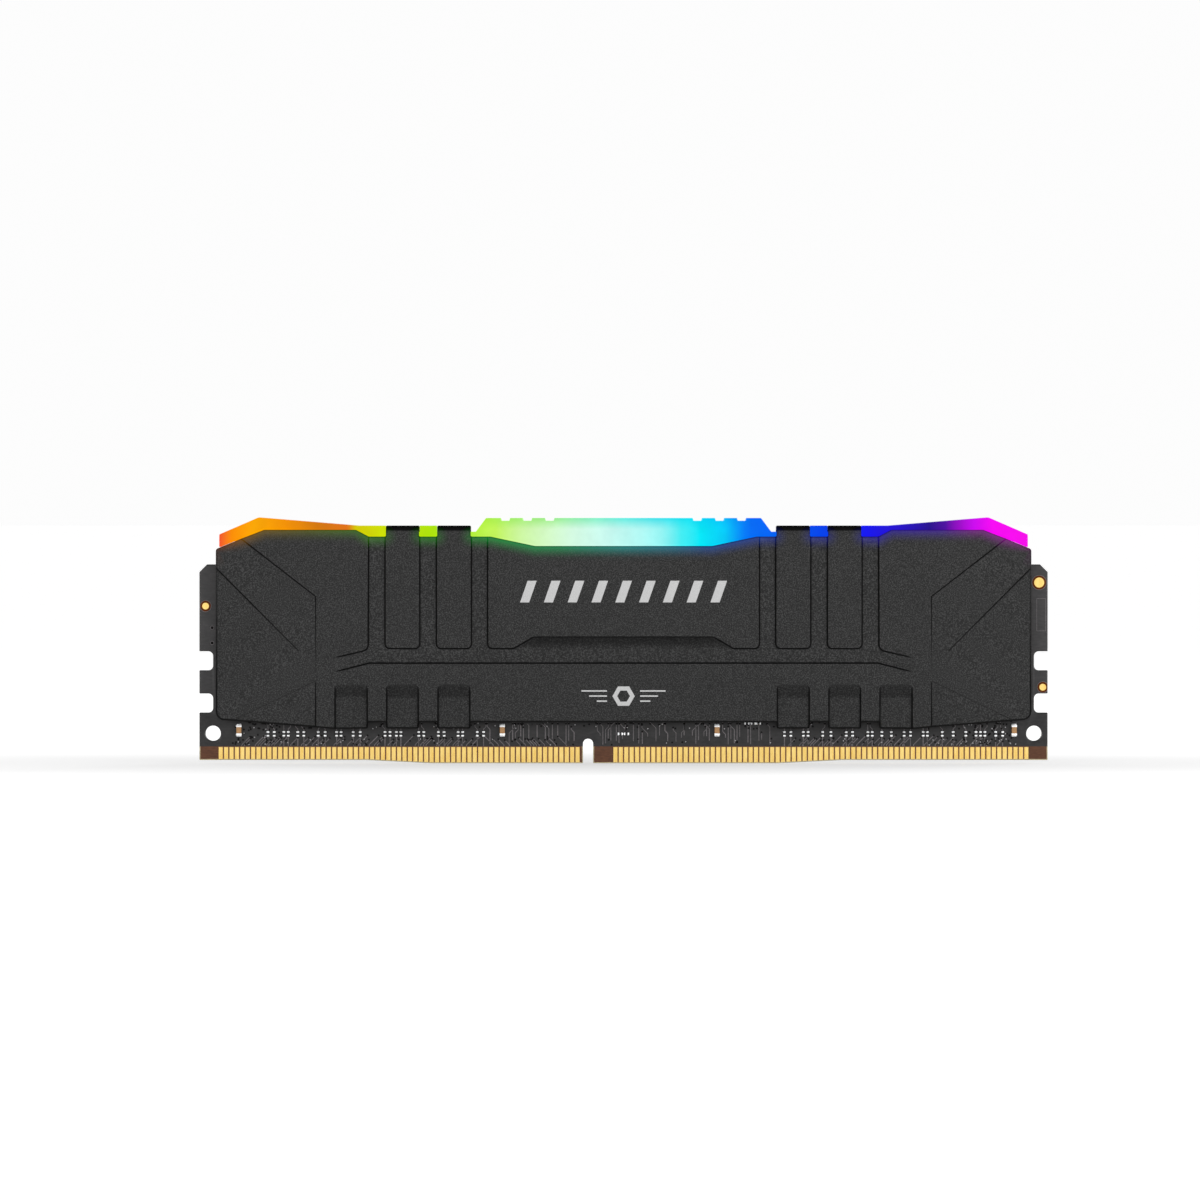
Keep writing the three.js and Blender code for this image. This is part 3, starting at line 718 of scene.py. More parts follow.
def facet_depth(points):
    """How far the end facets lie below the raised level."""
    upper = plane_value(points, UPPER_FACET)
    start_x, start_z = DIAGONAL_START
    gained = (points.sum(axis=1) - start_x - start_z) / DIAGONAL_RUN
    risen = DIAGONAL_FIRST + (1 - DIAGONAL_FIRST) * gained
    gained = smooth(gained / DIAGONAL_RISE) * risen
    below_line = ((points[:, 0] - points[:, 1]) - (start_x - start_z)) / math.sqrt(2)
    lower = upper + DIAGONAL_STEP * gained * smooth(below_line / FACET_WALL)
    at_line = plane_value(np.array(TOE_LINE), UPPER_FACET)
    places = [(*place, depth) for place, depth in zip(TOE_LINE, at_line)]
    toe = plane_value(points, places + [(FACET_LINE, FACET_FOOT, FACET_FOOT_DEPTH)])
    return np.maximum(lower, toe + TOE_STEP * smooth((toe - lower) / TOE_WALL))


def pressed_depth(points, labelled):
    """Depth of the outer face below the raised level, without the rounded rim."""
    right = folded(points)
    x, z = right[:, 0], right[:, 1]
    run_out = 1 - smooth((x - CHANNEL_FADE_START) / CHANNEL_FADE)
    drop = np.clip((PANEL_SLOPE_TOP - z) / (PANEL_SLOPE_TOP - PANEL_SLOPE_FOOT), 0, 1)
    under_panel = np.where(x < PANEL_SLOPE_END + 0.4, 1 - (1 - drop) ** 2, 1)
    channel = inside_share(right, channel_outline(), WALL)
    depth = CHANNEL_DEPTH * run_out * under_panel * channel
    sunk = SCOOP_DEPTH * smooth((SCOOP_TOP - z) / SCOOP_SLOPE)
    for start, end in SCOOPS:
        depth = np.maximum(depth, sunk * inside_share(right, scoop_outline(start, end), WALL))
    ends = inside_share(right, end_outline(), FACET_WALL)
    depth = np.maximum(depth, facet_depth(right) * ends)
    if labelled:
        depth = depth + LABEL_SEAT * inside_share(points, label_outline(), LABEL_WALL)
    return depth


def mirrored_guides(guides):
    return guides + [(points * (-1, 1), closed) for points, closed in guides]


def spreader_guides(outline, labelled):
    """Lines along which the sheet's surface bends, so that the mesh follows them."""
    guides = edge_rings(outline, EDGE_RADIUS) + rings(outline, [EDGE_SHADE])
    guides += rings(channel_outline(), [WALL * s for s in STEP_SHARES])
    right = []
    for start, end in SCOOPS:
        right += rings(scoop_outline(start, end), [WALL * s for s in STEP_SHARES])
        for share in SCOOP_SHARES:
            z = SCOOP_TOP - SCOOP_SLOPE * share
            right.append(line((start, z), (end, z)))
    right += rings(end_outline(), [FACET_WALL * s for s in STEP_SHARES])
    for share in STEP_SHARES:
        start = np.array(DIAGONAL_START) + np.array((1, -1)) * FACET_WALL * share / math.sqrt(2)
        right.append(line(start, start + 16))
    for drop in TOE_DROPS:
        start, end = (np.array(place) - (0, drop) for place in (TOE_LINE[0], TOE_FAR))
        right.append(line(start, end))
    right.append(line(DIAGONAL_START, np.array(DIAGONAL_START) + (12, -12)))
    for share in np.linspace(0, 1, 9):
        x = CHANNEL_FADE_START + CHANNEL_FADE * share
        right.append(line((x, 13.6), (x, 18.6)))
        z = BEND_START + BEND_RUN * share
        right += [line((start, z), (end, z)) for start, end in RIBS]
    guides += mirrored_guides(right)
    for share in PANEL_SHARES:
        z = PANEL_SLOPE_TOP + (PANEL_SLOPE_FOOT - PANEL_SLOPE_TOP) * share
        guides.append(line((-PANEL_SLOPE_END, z), (PANEL_SLOPE_END, z)))
    for distance in GLOW_DISTANCES:
        ring = inset(outline, distance)
        pairs = zip(ring, ring[1:])
        guides += [line(a, b) for a, b in pairs if min(a[1], b[1]) > GLOW_LOWEST]
    if labelled:
        guides += rings(label_outline(), [LABEL_WALL * s for s in STEP_SHARES[::2]])
    return guides


def bend_straps(points, depth):
    """Places flat points in the frame, bending what lies above the bend line back."""
    x, along = points[:, 0], points[:, 1]
    angle = np.clip((along - BEND_START) / STRAP_BEND, 0, math.pi / 2)
    past = np.clip(along - BEND_START - BEND_RUN, 0, None)
    radius = STRAP_BEND - depth
    y = -RAISED + STRAP_BEND - radius * np.cos(angle) + past
    z = np.minimum(along, BEND_START) + radius * np.sin(angle)
    return np.column_stack((x, y, z))


def exposed_top():
    """The stretches of the metal's top edge that have the lit bar above them."""
    inner, outer = RIBS
    shoulder = [(63.4, 34.0), (SHOULDER_END, TOP_SHOULDER), (SHOULDER_START, TOP_SHOULDER)]
    shoulder += [(SHOULDER_FOOT, TOP_RIBS), (outer[1], TOP_RIBS)]
    window = [(outer[0], TOP_RIBS), (inner[1], TOP_RIBS)]
    middle = [(inner[0], TOP_RIBS), (DIP_TOP, TOP_RIBS), (DIP_FOOT, TOP_MIDDLE), (0, TOP_MIDDLE)]
    return shoulder, window, middle


GLOW_REACH, GLOW_FALL, GLOW_LOWEST = 2.1, 1.9, 30
GLOW_AT_EDGE, GLOW_EDGE, STRAP_DIMMING, STRAP_EDGE = 0.45, 0.3, 0.6, 0.4
# At the ends, past the first of these, the glow fades out below the second and over the third.
GLOW_END_X, GLOW_END_Z, GLOW_END_FADE = 60, 33, 1.5


def glow_at(points):
    """Light spilt from the bar on to the metal, strongest just below the exposed top edge."""
    right = folded(points)
    nearest = np.full(len(points), np.inf)
    for stretch in exposed_top():
        for start, end in zip(stretch, stretch[1:]):
            nearest = np.minimum(nearest, segment_distance(right, start, end))
    on_strap = np.zeros(len(points))
    for start, end in RIBS:
        inside = np.minimum(right[:, 0] - start, end - right[:, 0])
        on_strap = np.maximum(on_strap, smooth(inside / STRAP_EDGE + 1))
    fading = np.clip(1 - nearest / GLOW_REACH, 0, 1) ** GLOW_FALL
    at_end = np.clip((right[:, 1] - GLOW_END_Z) / GLOW_END_FADE, 0, 1)
    fading *= np.where(right[:, 0] > GLOW_END_X, at_end, 1)
    rising = GLOW_AT_EDGE + (1 - GLOW_AT_EDGE) * smooth(nearest / GLOW_EDGE)
    return fading * rising * (1 - STRAP_DIMMING * on_strap)


def painted_shade(points, labelled):
    """Painted shade on the metal: 1 on steep walls, less in scoops, under edges and in bends."""
    reach = 0.004
    slopes = [
        pressed_depth(points + step, labelled) - pressed_depth(points - step, labelled)
        for step in (np.array((reach, 0)), np.array((0, reach)))
    ]
    slope = np.hypot(*slopes) / (2 * reach)
    right = folded(points)
    z = right[:, 1]
    # a painted shadow line along the rim, strongest low down
    rim = RIM_STRENGTH * (1 - depth_inside(points, spreader_outline()) / EDGE_SHADE)
    rim = np.clip(rim, 0, 1) * np.clip(1 - (z - RIM_FADE_START) / RIM_FADE, RIM_LEAST, 1)
    # painted shade on the steep walls of the pressed steps
    dark = np.clip((slope - SLOPE_LEVEL) / SLOPE_RANGE, 0, 1) ** SLOPE_POWER
    dark = np.maximum(dark, rim)
    scoop = SCOOP_SHADE + SCOOP_SLOPE_SHADE * hump(SCOOP_TOP - z, *SCOOP_DARK)
    for start, end in SCOOPS:
        dark = np.maximum(dark, scoop * inside_share(right, scoop_outline(start, end), WALL))
    rise = (z - PANEL_SLOPE_FOOT) / (PANEL_SLOPE_TOP - PANEL_SLOPE_FOOT)
    under = inside_share(right, channel_outline(), WALL) * (right[:, 0] < PANEL_SLOPE_END)
    dark = np.maximum(dark, PANEL_SHADE * under * smooth(rise + 0.5))
    # painted dark reflection on the bends of the straps
    turned = np.degrees((z - BEND_START) / STRAP_BEND)
    return np.maximum(dark, hump(turned, *BEND_DARK))


def build_spreader(name, node, labelled):
    outline = spreader_outline()
    points, triangles = triangulate(outline, guides=spreader_guides(outline, labelled))
    depth = pressed_depth(points, labelled)
    rim = edge_drop(np.clip(depth_inside(points, outline), 0, None), EDGE_RADIUS)
    front = bend_straps(points, depth + rim)
    back = bend_straps(points, depth + SHEET)
    vertices, faces = closed_sheet(triangles, front, back)
    if labelled:
        vertices = vertices * (-1, -1, 1)
    piece = mesh_object(name, vertices, faces, [METAL, SHADED_STEP_METAL], 50)
    middles = points[triangles].mean(axis=1)
    # faces deep in painted shade get the near-black shaded copy of the metal
    walls = (painted_shade(middles, labelled) > WALL_DARKNESS) & (glow_at(middles) < 0.02)
    indices = np.zeros(len(faces), int)
    indices[: len(walls)] = walls
    piece.data.polygons.foreach_set("material_index", indices)
    # the step attribute holds painted shade, the glow attribute painted light spilt from the bar
    for attribute, values in (("glow", glow_at(points)), ("step", painted_shade(points, labelled))):
        stored = piece.data.attributes.new(attribute, "FLOAT", "POINT")
        stored.data.foreach_set("value", np.concatenate((values, values * 0)))
    place_piece(piece, "heat_spreader", node)


# ---- light bar

BAR_GAP, BAR_CLEAR, BAR_NECK_TOP, BAR_CORE_END = 0.12, 0.1, 36.4, 61.0
BAR_HALF, BAR_NECK_HALF, BAR_CORE_HALF = BAR_HIGH[1], 2.6, 2.2
BAR_MIDDLE_TOP, BAR_NOTCHES = 38.55, (18.55, 15.1, 11.6)
BAR_NOTCH_TOP, BAR_NOTCH_FOOT, BAR_NOTCH_DEPTH = 0.74, 0.6, 0.43
BAR_LIP_RADIUS, BAR_STEP = 0.22, 0.07


def bar_foot():
    """Corners of the bar's lower edge just above the metal, from the right end inwards."""
    foot = [(BAR_HIGH[0], 33.95, 0.1), (SHOULDER_END, TOP_SHOULDER + BAR_GAP, 0.3)]
    turns = [(SHOULDER_START, TOP_SHOULDER), (SHOULDER_FOOT, TOP_RIBS)]
    turns += [(DIP_TOP, TOP_RIBS), (DIP_FOOT, TOP_MIDDLE)]
    return foot + [(x - BAR_GAP, z + BAR_GAP, 0.3) for x, z in turns]


def bar_crown():
    """Corners of the bar's upper edge, from the right end inwards."""
    def neck_side(x):
        return [(x, STRAP_TOP, 0.08), (x, BAR_NECK_TOP, 0.04)]

    inner, outer = RIBS
    top, foot = BAR_MIDDLE_TOP, BAR_MIDDLE_TOP - BAR_NOTCH_DEPTH
    crown = [(BAR_HIGH[0], 35.97, 0.25), (57.3, BAR_HIGH[2] + 0.02, 0.9), (41.6, STRAP_TOP, 0.8)]
    crown += neck_side(outer[1] + BAR_CLEAR) + neck_side(outer[0] - BAR_CLEAR)[::-1]
    crown += neck_side(inner[1] + BAR_CLEAR) + [(23.2, BAR_NECK_TOP, 0.1), (21.6, top, 0.3)]
    for x in BAR_NOTCHES:
        crown += [(x + BAR_NOTCH_TOP, top, 0.06), (x + BAR_NOTCH_FOOT, foot, 0.06)]
        crown += [(x - BAR_NOTCH_FOOT, foot, 0.06), (x - BAR_NOTCH_TOP, top, 0.06)]
    return crown


def bar_outline():
    foot = bar_foot()
    slope = (foot[1][1] - foot[0][1]) / (foot[1][0] - foot[0][0])
    shoulder = foot[0][1] + slope * (BAR_CORE_END - foot[0][0])
    right = [(BAR_CORE_END, BAR_LOW[2], 0.2), (BAR_CORE_END, shoulder, 0.1), foot[0]]
    return rounded(both_halves(right + bar_crown()))


def bar_flange_outline():
    """The part of the bar that stands above the metal."""
    foot, crown = bar_foot(), bar_crown()
    return rounded(both_halves(list(reversed(foot)) + crown))


def under_straps(points):
    """1 where a strap passes over the bar, falling to 0 just outside it."""
    x = np.abs(points[:, 0])
    cover = np.zeros(len(points))
    for start, end in RIBS:
        inside = np.minimum(x - start + BAR_CLEAR, end + BAR_CLEAR - x)
        cover = np.maximum(cover, smooth(inside / 0.06 + 1))
    return cover


def build_light_bar():
    outline, flange = bar_outline(), bar_flange_outline()
    radius, step = BAR_LIP_RADIUS, BAR_STEP
    guides = edge_rings(outline, radius) + rings(flange, [0, step / 2, step])
    guides += rings(flange, [step + radius * s for s in (0.1, 0.3, 0.6, 1.0)])
    right = []
    for start, end in RIBS:
        for away in (BAR_CLEAR, BAR_CLEAR + 0.03, BAR_CLEAR + 0.06):
            right += [line((x, 34.5), (x, 38.5)) for x in (start - away, end + away)]
    points, triangles = triangulate(outline, guides=guides + mirrored_guides(right))
    in_flange = depth_inside(points, flange)
    reach = BAR_HALF + (BAR_NECK_HALF - BAR_HALF) * under_straps(points)
    lip = edge_drop(np.clip(in_flange - step, 0, None), radius)
    raised = smooth(in_flange / step) * (reach - lip - BAR_CORE_HALF)
    rim = edge_drop(np.clip(depth_inside(points, outline), 0, None), radius)
    core = BAR_CORE_HALF + np.maximum(raised, 0)
    half = np.where(in_flange > step, core, core - rim)
    vertices, faces = symmetric_solid(points, triangles, half)
    piece = mesh_object("light_bar_diffuser", vertices, faces, [BAR_PLASTIC], 45)
    place_piece(piece, "light_bar", "light_bar")


# ---- board and parts

EDGE_RISE, LEFT_FLAT, RIGHT_FLAT, SLOPE_RUN = 0.5, 26.3, 32.25, 10.2
NOTCH_HEIGHTS, NOTCH_DEPTH, NOTCH_WIDTH, NOTCH_RADIUS = (9.45, 16.1), 2.15, 3.0, 0.75
HOLE_FROM_END, HOLE_HEIGHT, HOLE_RADIUS = 2.15, 4.7, 1.2
BOARD_RIM, MASK_EDGE = 0.16, CONTACT_TOP + 0.1  # the rounded rim, and where the lacquer ends
SIDE_FACING, BEVEL_FACING = 0.3, 0.97  # the most that a side's and a bevel's normal has along Y


def board_outline():
    half, top, chamfer = BOARD_HALF, BOARD_TOP, 1.2
    side = []
    for z in NOTCH_HEIGHTS:
        notch = tooth(z - NOTCH_WIDTH / 2, z + NOTCH_WIDTH / 2, half, half - NOTCH_DEPTH,
                      0.1, NOTCH_RADIUS)
        side += [(x, level, radius) for level, x, radius in notch]
    side += [(half, top - chamfer, 0.2), (half - chamfer, top, 0.2)]
    corners = [(-half, EDGE_RISE, 0.15), (-half + LEFT_FLAT, EDGE_RISE, 0)]
    corners += [(-half + LEFT_FLAT + SLOPE_RUN, 0, 0)]
    corners += tooth(KEY_X - KEY_WIDTH / 2, KEY_X + KEY_WIDTH / 2, 0, KEY_TOP, 0.12, 0.79)
    corners += [(half - RIGHT_FLAT - SLOPE_RUN, 0, 0), (half - RIGHT_FLAT, EDGE_RISE, 0)]
    return rounded(corners + [(half, EDGE_RISE, 0.15)] + both_halves(side))


def circle(x, z, radius, count=48):
    angles = np.arange(count) * 2 * math.pi / count
    return np.column_stack((x + radius * np.cos(angles), z + radius * np.sin(angles)))


def contact_reaches():
    """Where each row of contacts starts and ends, as seen on the front."""
    margin = CONTACT_WIDTH / 2 - 0.02
    rows = CONTACT_ROWS.values()
    return [(x - margin, x + (count - 1) * CONTACT_PITCH + margin) for x, count in rows]


def edge_height(x):
    """Height of the card edge, which rises towards both ends."""
    flat = LEFT_FLAT if x < 0 else RIGHT_FLAT
    inward = BOARD_HALF - abs(x) - flat
    return EDGE_RISE * min(1, max(0, 1 - inward / SLOPE_RUN))


def build_board():
    outline = board_outline()
    places = [side * (BOARD_HALF - HOLE_FROM_END) for side in (-1, 1)]
    holes = [circle(x, HOLE_HEIGHT, HOLE_RADIUS) for x in places]
    guides = edge_rings(outline, BOARD_RIM, 3)
    for x, share in itertools.product(places, (0.3, 1)):
        guides.append((circle(x, HOLE_HEIGHT, HOLE_RADIUS + BOARD_RIM * share), True))
    guides.append(line((-BOARD_HALF - 1, MASK_EDGE), (BOARD_HALF + 1, MASK_EDGE)))
    reaches = contact_reaches()
    for x in (side * x for reach in reaches for x in reach for side in (-1, 1)):
        guides.append(line((x, -1), (x, MASK_EDGE)))
    points, triangles = triangulate(outline, holes, guides)
    rim = np.clip(depth_inside(points, outline), 0, None)
    for hole in holes:
        rim = np.minimum(rim, np.abs(depth_inside(points, hole)))
    face = BOARD_FACE - edge_drop(rim, BOARD_RIM)
    vertices, faces = symmetric_solid(points, triangles, face)
    looks = [MASK, SUBSTRATE, LAMINATE_EDGE, GAP, BEVEL]
    piece = mesh_object("board", vertices, faces, looks)
    for polygon in piece.data.polygons:
        x = polygon.center.x / MM * (-1 if polygon.center.y > 0 else 1)
        facing = abs(polygon.normal.y)
        bare = polygon.center.z < MASK_EDGE * MM
        look = MASK
        if facing < SIDE_FACING:
            look = LAMINATE_EDGE
        elif bare and facing < BEVEL_FACING:
            look = BEVEL
        elif bare:
            look = GAP if any(start < x < end for start, end in reaches) else SUBSTRATE
        polygon.material_index = looks.index(look)
    place_piece(piece, "circuit_board", "circuit_board")


CORNER_SIGNS = np.array(list(itertools.product((-1, 1), repeat=3)))


def block_corners(half, bevel):
    """Vertices of a box with its edges cut back: three at a corner, one for each axis."""
    signs = CORNER_SIGNS[:, None]
    return (signs * half - signs * bevel * (1 - np.eye(3))).reshape(-1, 3)


def block_faces():
    """Faces of a bevelled box: one for each face, edge and corner of the plain box."""
    sample = block_corners(np.ones(3), 0.2)
    faces = []
    for outward in itertools.product((-1, 0, 1), repeat=3):
        axes = [axis for axis in range(3) if outward[axis]]
        at_place = [all(signs[a] == outward[a] for a in axes) for signs in CORNER_SIGNS]
        chosen = [3 * corner + axis for corner in np.flatnonzero(at_place) for axis in axes]
        if chosen:
            faces.append(anticlockwise_loop(chosen, sample, outward))
    return faces


def anticlockwise_loop(chosen, vertices, outward):
    """The chosen vertices in order round a face, seen from outside."""
    arms = vertices[chosen] - vertices[chosen].mean(axis=0)
    across = arms @ arms[0]
    along = arms @ np.cross(outward, arms[0])
    return tuple(chosen[i] for i in np.argsort(np.arctan2(along, across)))


BLOCK_FACES = block_faces()


def small_block(centre, size, bevel, material_index=0):
    return block_corners(np.array(size) / 2, bevel) + centre, material_index


def merged(shapes):
    """Vertices and faces of several (vertices, faces) shapes put together."""
    vertices, faces, first = [], [], 0
    for points, polygons in shapes:
        vertices.append(points)
        faces += [tuple(first + i for i in polygon) for polygon in polygons]
        first += len(points)
    return np.vstack(vertices), faces


def block_mesh(name, blocks, materials, sharp_degrees=50):
    """One mesh object that holds many small bevelled blocks."""
    vertices, faces = merged([(points, BLOCK_FACES) for points, _ in blocks])
    piece = mesh_object(name, vertices, faces, materials, sharp_degrees)
    indices = np.repeat([index for _, index in blocks], len(BLOCK_FACES))
    piece.data.polygons.foreach_set("material_index", indices)
    return piece


def build_contacts():
    thickness = 0.05
    for side_name, side in SIDES:
        for row_name, (first, count) in CONTACT_ROWS.items():
            blocks = []
            for i in range(count):
                x = first + i * CONTACT_PITCH
                low = edge_height(x) + CONTACT_SETBACK
                centre = (x, side * (BOARD_FACE + thickness / 2), (low + CONTACT_TOP) / 2)
                size = (CONTACT_WIDTH, thickness, CONTACT_TOP - low)
                blocks.append(small_block(centre, size, 0.02))
            name = f"contacts_{side_name}_{row_name}"
            piece = block_mesh(f"gold_{name}", blocks, [GOLD], 25)
            place_piece(piece, "gold_contact", name)


CAPACITORS = 4
CAP_TERMINAL = 0.4


def build_capacitors():
    for i in range(1, CAPACITORS + 1):
        node = f"ceramic_capacitor_{i}"
        low, high = box_mm(node)
        middle, size = (low + high) / 2, high - low
        blocks = [small_block(middle, size * (0.9, 0.94, 0.9), 0.05, 0)]
        for end in (-1, 1):
            height = CAP_TERMINAL
            centre = middle + (0, 0, end * (size[2] - height) / 2)
            blocks.append(small_block(centre, (size[0], size[1], height), 0.07, 1))
            foot = middle * (1, 0, 1) + (0, -BOARD_FACE - 0.05, end * (size[2] / 2 + 0.02))
            blocks.append(small_block(foot, (size[0] * 0.9, 0.1, 0.24), 0.04, 1))
        piece = block_mesh(f"chip_capacitor_{i}", blocks, [CERAMIC, SOLDER])
        place_piece(piece, "ceramic_capacitor", node)


# Chip resistors stand in pairs: place of the first, and the distance to the second.
RESISTOR_PAIRS = (
    (-55.9, 1.0), (-53.4, 0.7), (-51.2, 0.95), (-48.0, 1.1), (-45.1, 0.7), (-42.5, 1.1),
    (-37.5, 0.8), (-35.7, 0.7), (-32.2, 0.8), (-29.1, 0.9), (-26.0, 0.7), (-23.0, 1.0),
    (25.3, 1.0), (28.25, 0.75), (31.3, 1.3), (35.0, 1.0), (38.4, 0.7), (40.6, 1.5),
    (44.1, 1.0), (47.1, 0.65), (50.1, 1.7), (53.8, 1.6), (56.1, 0.7), (58.5, 1.1),
)
RESISTOR_HEIGHT = 4.62
LYING_RESISTORS = ((-0.5, 4.62), (0.45, 4.62), (19.4, 6.3), (20.4, 6.3), (21.2, 6.3))


def resistor_places():
    return [x + step for x, gap in RESISTOR_PAIRS for step in (0, gap)]


def resistor_blocks(x, z, side, upright=True):
    def turned(across, along):
        return (across, along) if upright else (along, across)

    blocks = []
    depth = 0.24
    y = side * (BOARD_FACE + depth / 2 + 0.02)
    body = turned(0.3, 0.36)
    blocks.append(small_block((x, y, z), (body[0], depth, body[1]), 0.03, 0))
    for end in (-1, 1):
        shift = turned(0, end * 0.29)
        size = turned(0.42, 0.27)
        centre = (x + shift[0], y, z + shift[1])
        blocks.append(small_block(centre, (size[0], depth + 0.04, size[1]), 0.06, 1))
    return blocks


def build_resistors():
    for side_name, side in SIDES:
        blocks = []
        for x in resistor_places():
            blocks += resistor_blocks(-side * x, RESISTOR_HEIGHT, side)
        for x, z in LYING_RESISTORS:
            blocks += resistor_blocks(-side * x, z, side, upright=False)
        piece = block_mesh(f"chip_resistors_{side_name}", blocks, [RESISTOR, SOLDER])
        place_piece(piece, "resistor")


def slab(outer, inner, y_outer, y_inner):
    """A thin solid between an outline on its outer face and one on its sunken face."""
    count = len(outer)
    vertices = [(x, y_outer, z) for x, z in outer] + [(x, y_inner, z) for x, z in inner]
    faces = [tuple(range(count)), tuple(reversed(range(count, 2 * count)))]
    faces += [(i, (i + 1) % count, count + (i + 1) % count, count + i) for i in range(count)]
    return np.array(vertices), faces


def ribbon(points, width, y_outer, y_inner):
    """A thin flat track along a polyline."""
    points = np.array(points, float)
    steps = np.diff(points, axis=0)
    steps /= np.linalg.norm(steps, axis=1, keepdims=True)
    normals = np.column_stack((-steps[:, 1], steps[:, 0]))
    joint = np.vstack((normals[:1], (normals[1:] + normals[:-1]) / 2, normals[-1:]))
    joint /= np.linalg.norm(joint, axis=1, keepdims=True)
    left, right = points + joint * width / 2, points - joint * width / 2
    outline = np.vstack((left, right[::-1]))
    return slab(outline, outline, y_outer, y_inner)


def disc(x, z, radius, y_outer, y_inner, count=14):
    """A low round dot whose outer face is a little smaller than its foot."""
    crown, foot = circle(x, z, radius - 0.03, count), circle(x, z, radius, count)
    return slab(crown, foot, y_outer, y_inner)


TRACK_TOP, VIA_TOP = 7.6, 6.2  # tracks end behind the spreader, plated holes below its edge
MIDDLE_CAPACITORS = (-19.05, 14.7)
# How far tracks, holes and dots stand up from the board, and their feet reach into it.
TRACK_RISE, VIA_RISE, DOT_RISE, SUNK = 0.028, 0.034, 0.04, 0.02
VIA_COUNT, DOT_COUNT = 230, 120


def without_repeats(route):
    """A route in which each place that is given twice in a row stands once."""
    return [place for i, place in enumerate(route) if i == 0 or place != route[i - 1]]


def trace_routes(chance):
    """Tracks in the strip between the contacts and the spreader."""
    routes = []
    for x in resistor_places():
        lean = chance.choice((-0.35, 0, 0.35))
        routes.append([(x, MASK_EDGE), (x, RESISTOR_HEIGHT - 0.35)])
        up = RESISTOR_HEIGHT + 0.35
        route = [(x, up), (x, up + 0.4), (x + lean, up + 0.4 + abs(lean)), (x + lean, TRACK_TOP)]
        routes.append(without_repeats(route))
    x = -21.0
    while x < 24:
        if abs(x - KEY_X) > 1.6 and all(abs(x - c) > 0.8 for c in MIDDLE_CAPACITORS):
            start = chance.uniform(2.9, 4.4)
            bend = chance.uniform(4.4, 6.0)
            lean = chance.choice((-0.9, -0.45, 0, 0, 0.45, 0.9))
            top = TRACK_TOP if chance.random() < 0.7 else bend + abs(lean) + 0.3
            bent = bend + abs(lean) + 0.02
            route = [(x, start), (x, bend), (x + lean, bent), (x + lean, top + 0.1)]
            routes.append(without_repeats(route))
        x += chance.choice((0.42, 0.42, 0.55, 0.85, 1.3))
    return routes


def fan_routes(chance):
    """Short tracks that lean away from the contacts at 45 degrees."""
    routes = []
    for start, end, lean in ((-60.0, -23.0, 1), (26.0, 59.0, 1), (-20.5, -8.0, -1)):
        x = start
        while x < end:
            run = chance.uniform(0.7, 1.5)
            low = MASK_EDGE + 0.05
            routes.append([(x, low), (x, low + 0.2), (x + lean * run, low + 0.2 + run)])
            x += chance.choice((0.43, 0.85, 0.85, 1.7))
    return routes


def speck_places(chance, count):
    """Tiny solder dots and plated holes, most of them close under the spreader."""
    places = []
    while len(places) < count:
        if chance.random() < 0.3:
            x = chance.choice((-1, 1)) * chance.uniform(53.5, 61.0)
            low, high = 2.9, 6.7
        else:
            x = chance.uniform(-62.5, 62.5)
            low, high = (5.4, 6.9) if chance.random() < 0.6 else (2.85, 3.9)
        z = chance.uniform(low, high)
        if abs(x - KEY_X) > 1.3 or z > KEY_TOP + 0.4:
            places.append((x, z))
    return places


def build_tracks():
    for (side_name, side), seed in zip(SIDES, (7, 11)):
        chance = random.Random(seed)
        sunk = side * (BOARD_FACE - SUNK)
        tracks, vias = [], []
        for route in trace_routes(chance) + fan_routes(chance):
            flipped = [(-side * x, z) for x, z in route]
            width = chance.choice((0.1, 0.12, 0.15))
            tracks.append(ribbon(flipped, width, side * (BOARD_FACE + TRACK_RISE), sunk))
            vias.append((flipped[-1][0], min(flipped[-1][1], VIA_TOP)))
        vias += speck_places(chance, VIA_COUNT)
        dots = speck_places(chance, DOT_COUNT)
        dots = [disc(x, z, 0.11, side * (BOARD_FACE + DOT_RISE), sunk) for x, z in dots]
        vias = [disc(x, z, 0.17, side * (BOARD_FACE + VIA_RISE), sunk) for x, z in vias]
        add_joined(f"solder_dots_{side_name}", dots, DULL_SOLDER)
        add_joined(f"board_tracks_{side_name}", tracks, TRACE)
        add_joined(f"board_vias_{side_name}", vias, VIA)


def add_joined(name, shapes, material, slot="circuit_board"):
    """One piece made of several shapes, whose faces are turned to point outwards."""
    piece = mesh_object(name, *merged(shapes), [material], 30)
    shape = bmesh.new()
    shape.from_mesh(piece.data)
    bmesh.ops.recalc_face_normals(shape, faces=shape.faces)
    shape.to_mesh(piece.data)
    shape.free()
    place_piece(piece, slot)


FIDUCIALS = ((-65.7, 24.7, 0.56), (65.33, 28.4, 0.82), (65.9, 11.95, 0.56))
EAR_VIAS = ((-64.67, 21.3, 0.24), (-64.67, 18.9, 0.24))
MARKING_FRAME = ((64.95, 20.8), (66.35, 20.8), (66.35, 25.9), (64.95, 25.9), (64.95, 20.8))


def round_marks(places, wider, rise, count=28):
    """Discs on the front of the board, cut off where they would pass its ends."""
    reach = BOARD_HALF - 0.03
    marks = []
    for x, z, radius in places:
        points, faces = disc(x, z, radius + wider, -BOARD_FACE - rise, SUNK - BOARD_FACE, count)
        marks.append((np.clip(points, -reach, reach), faces))
    return marks


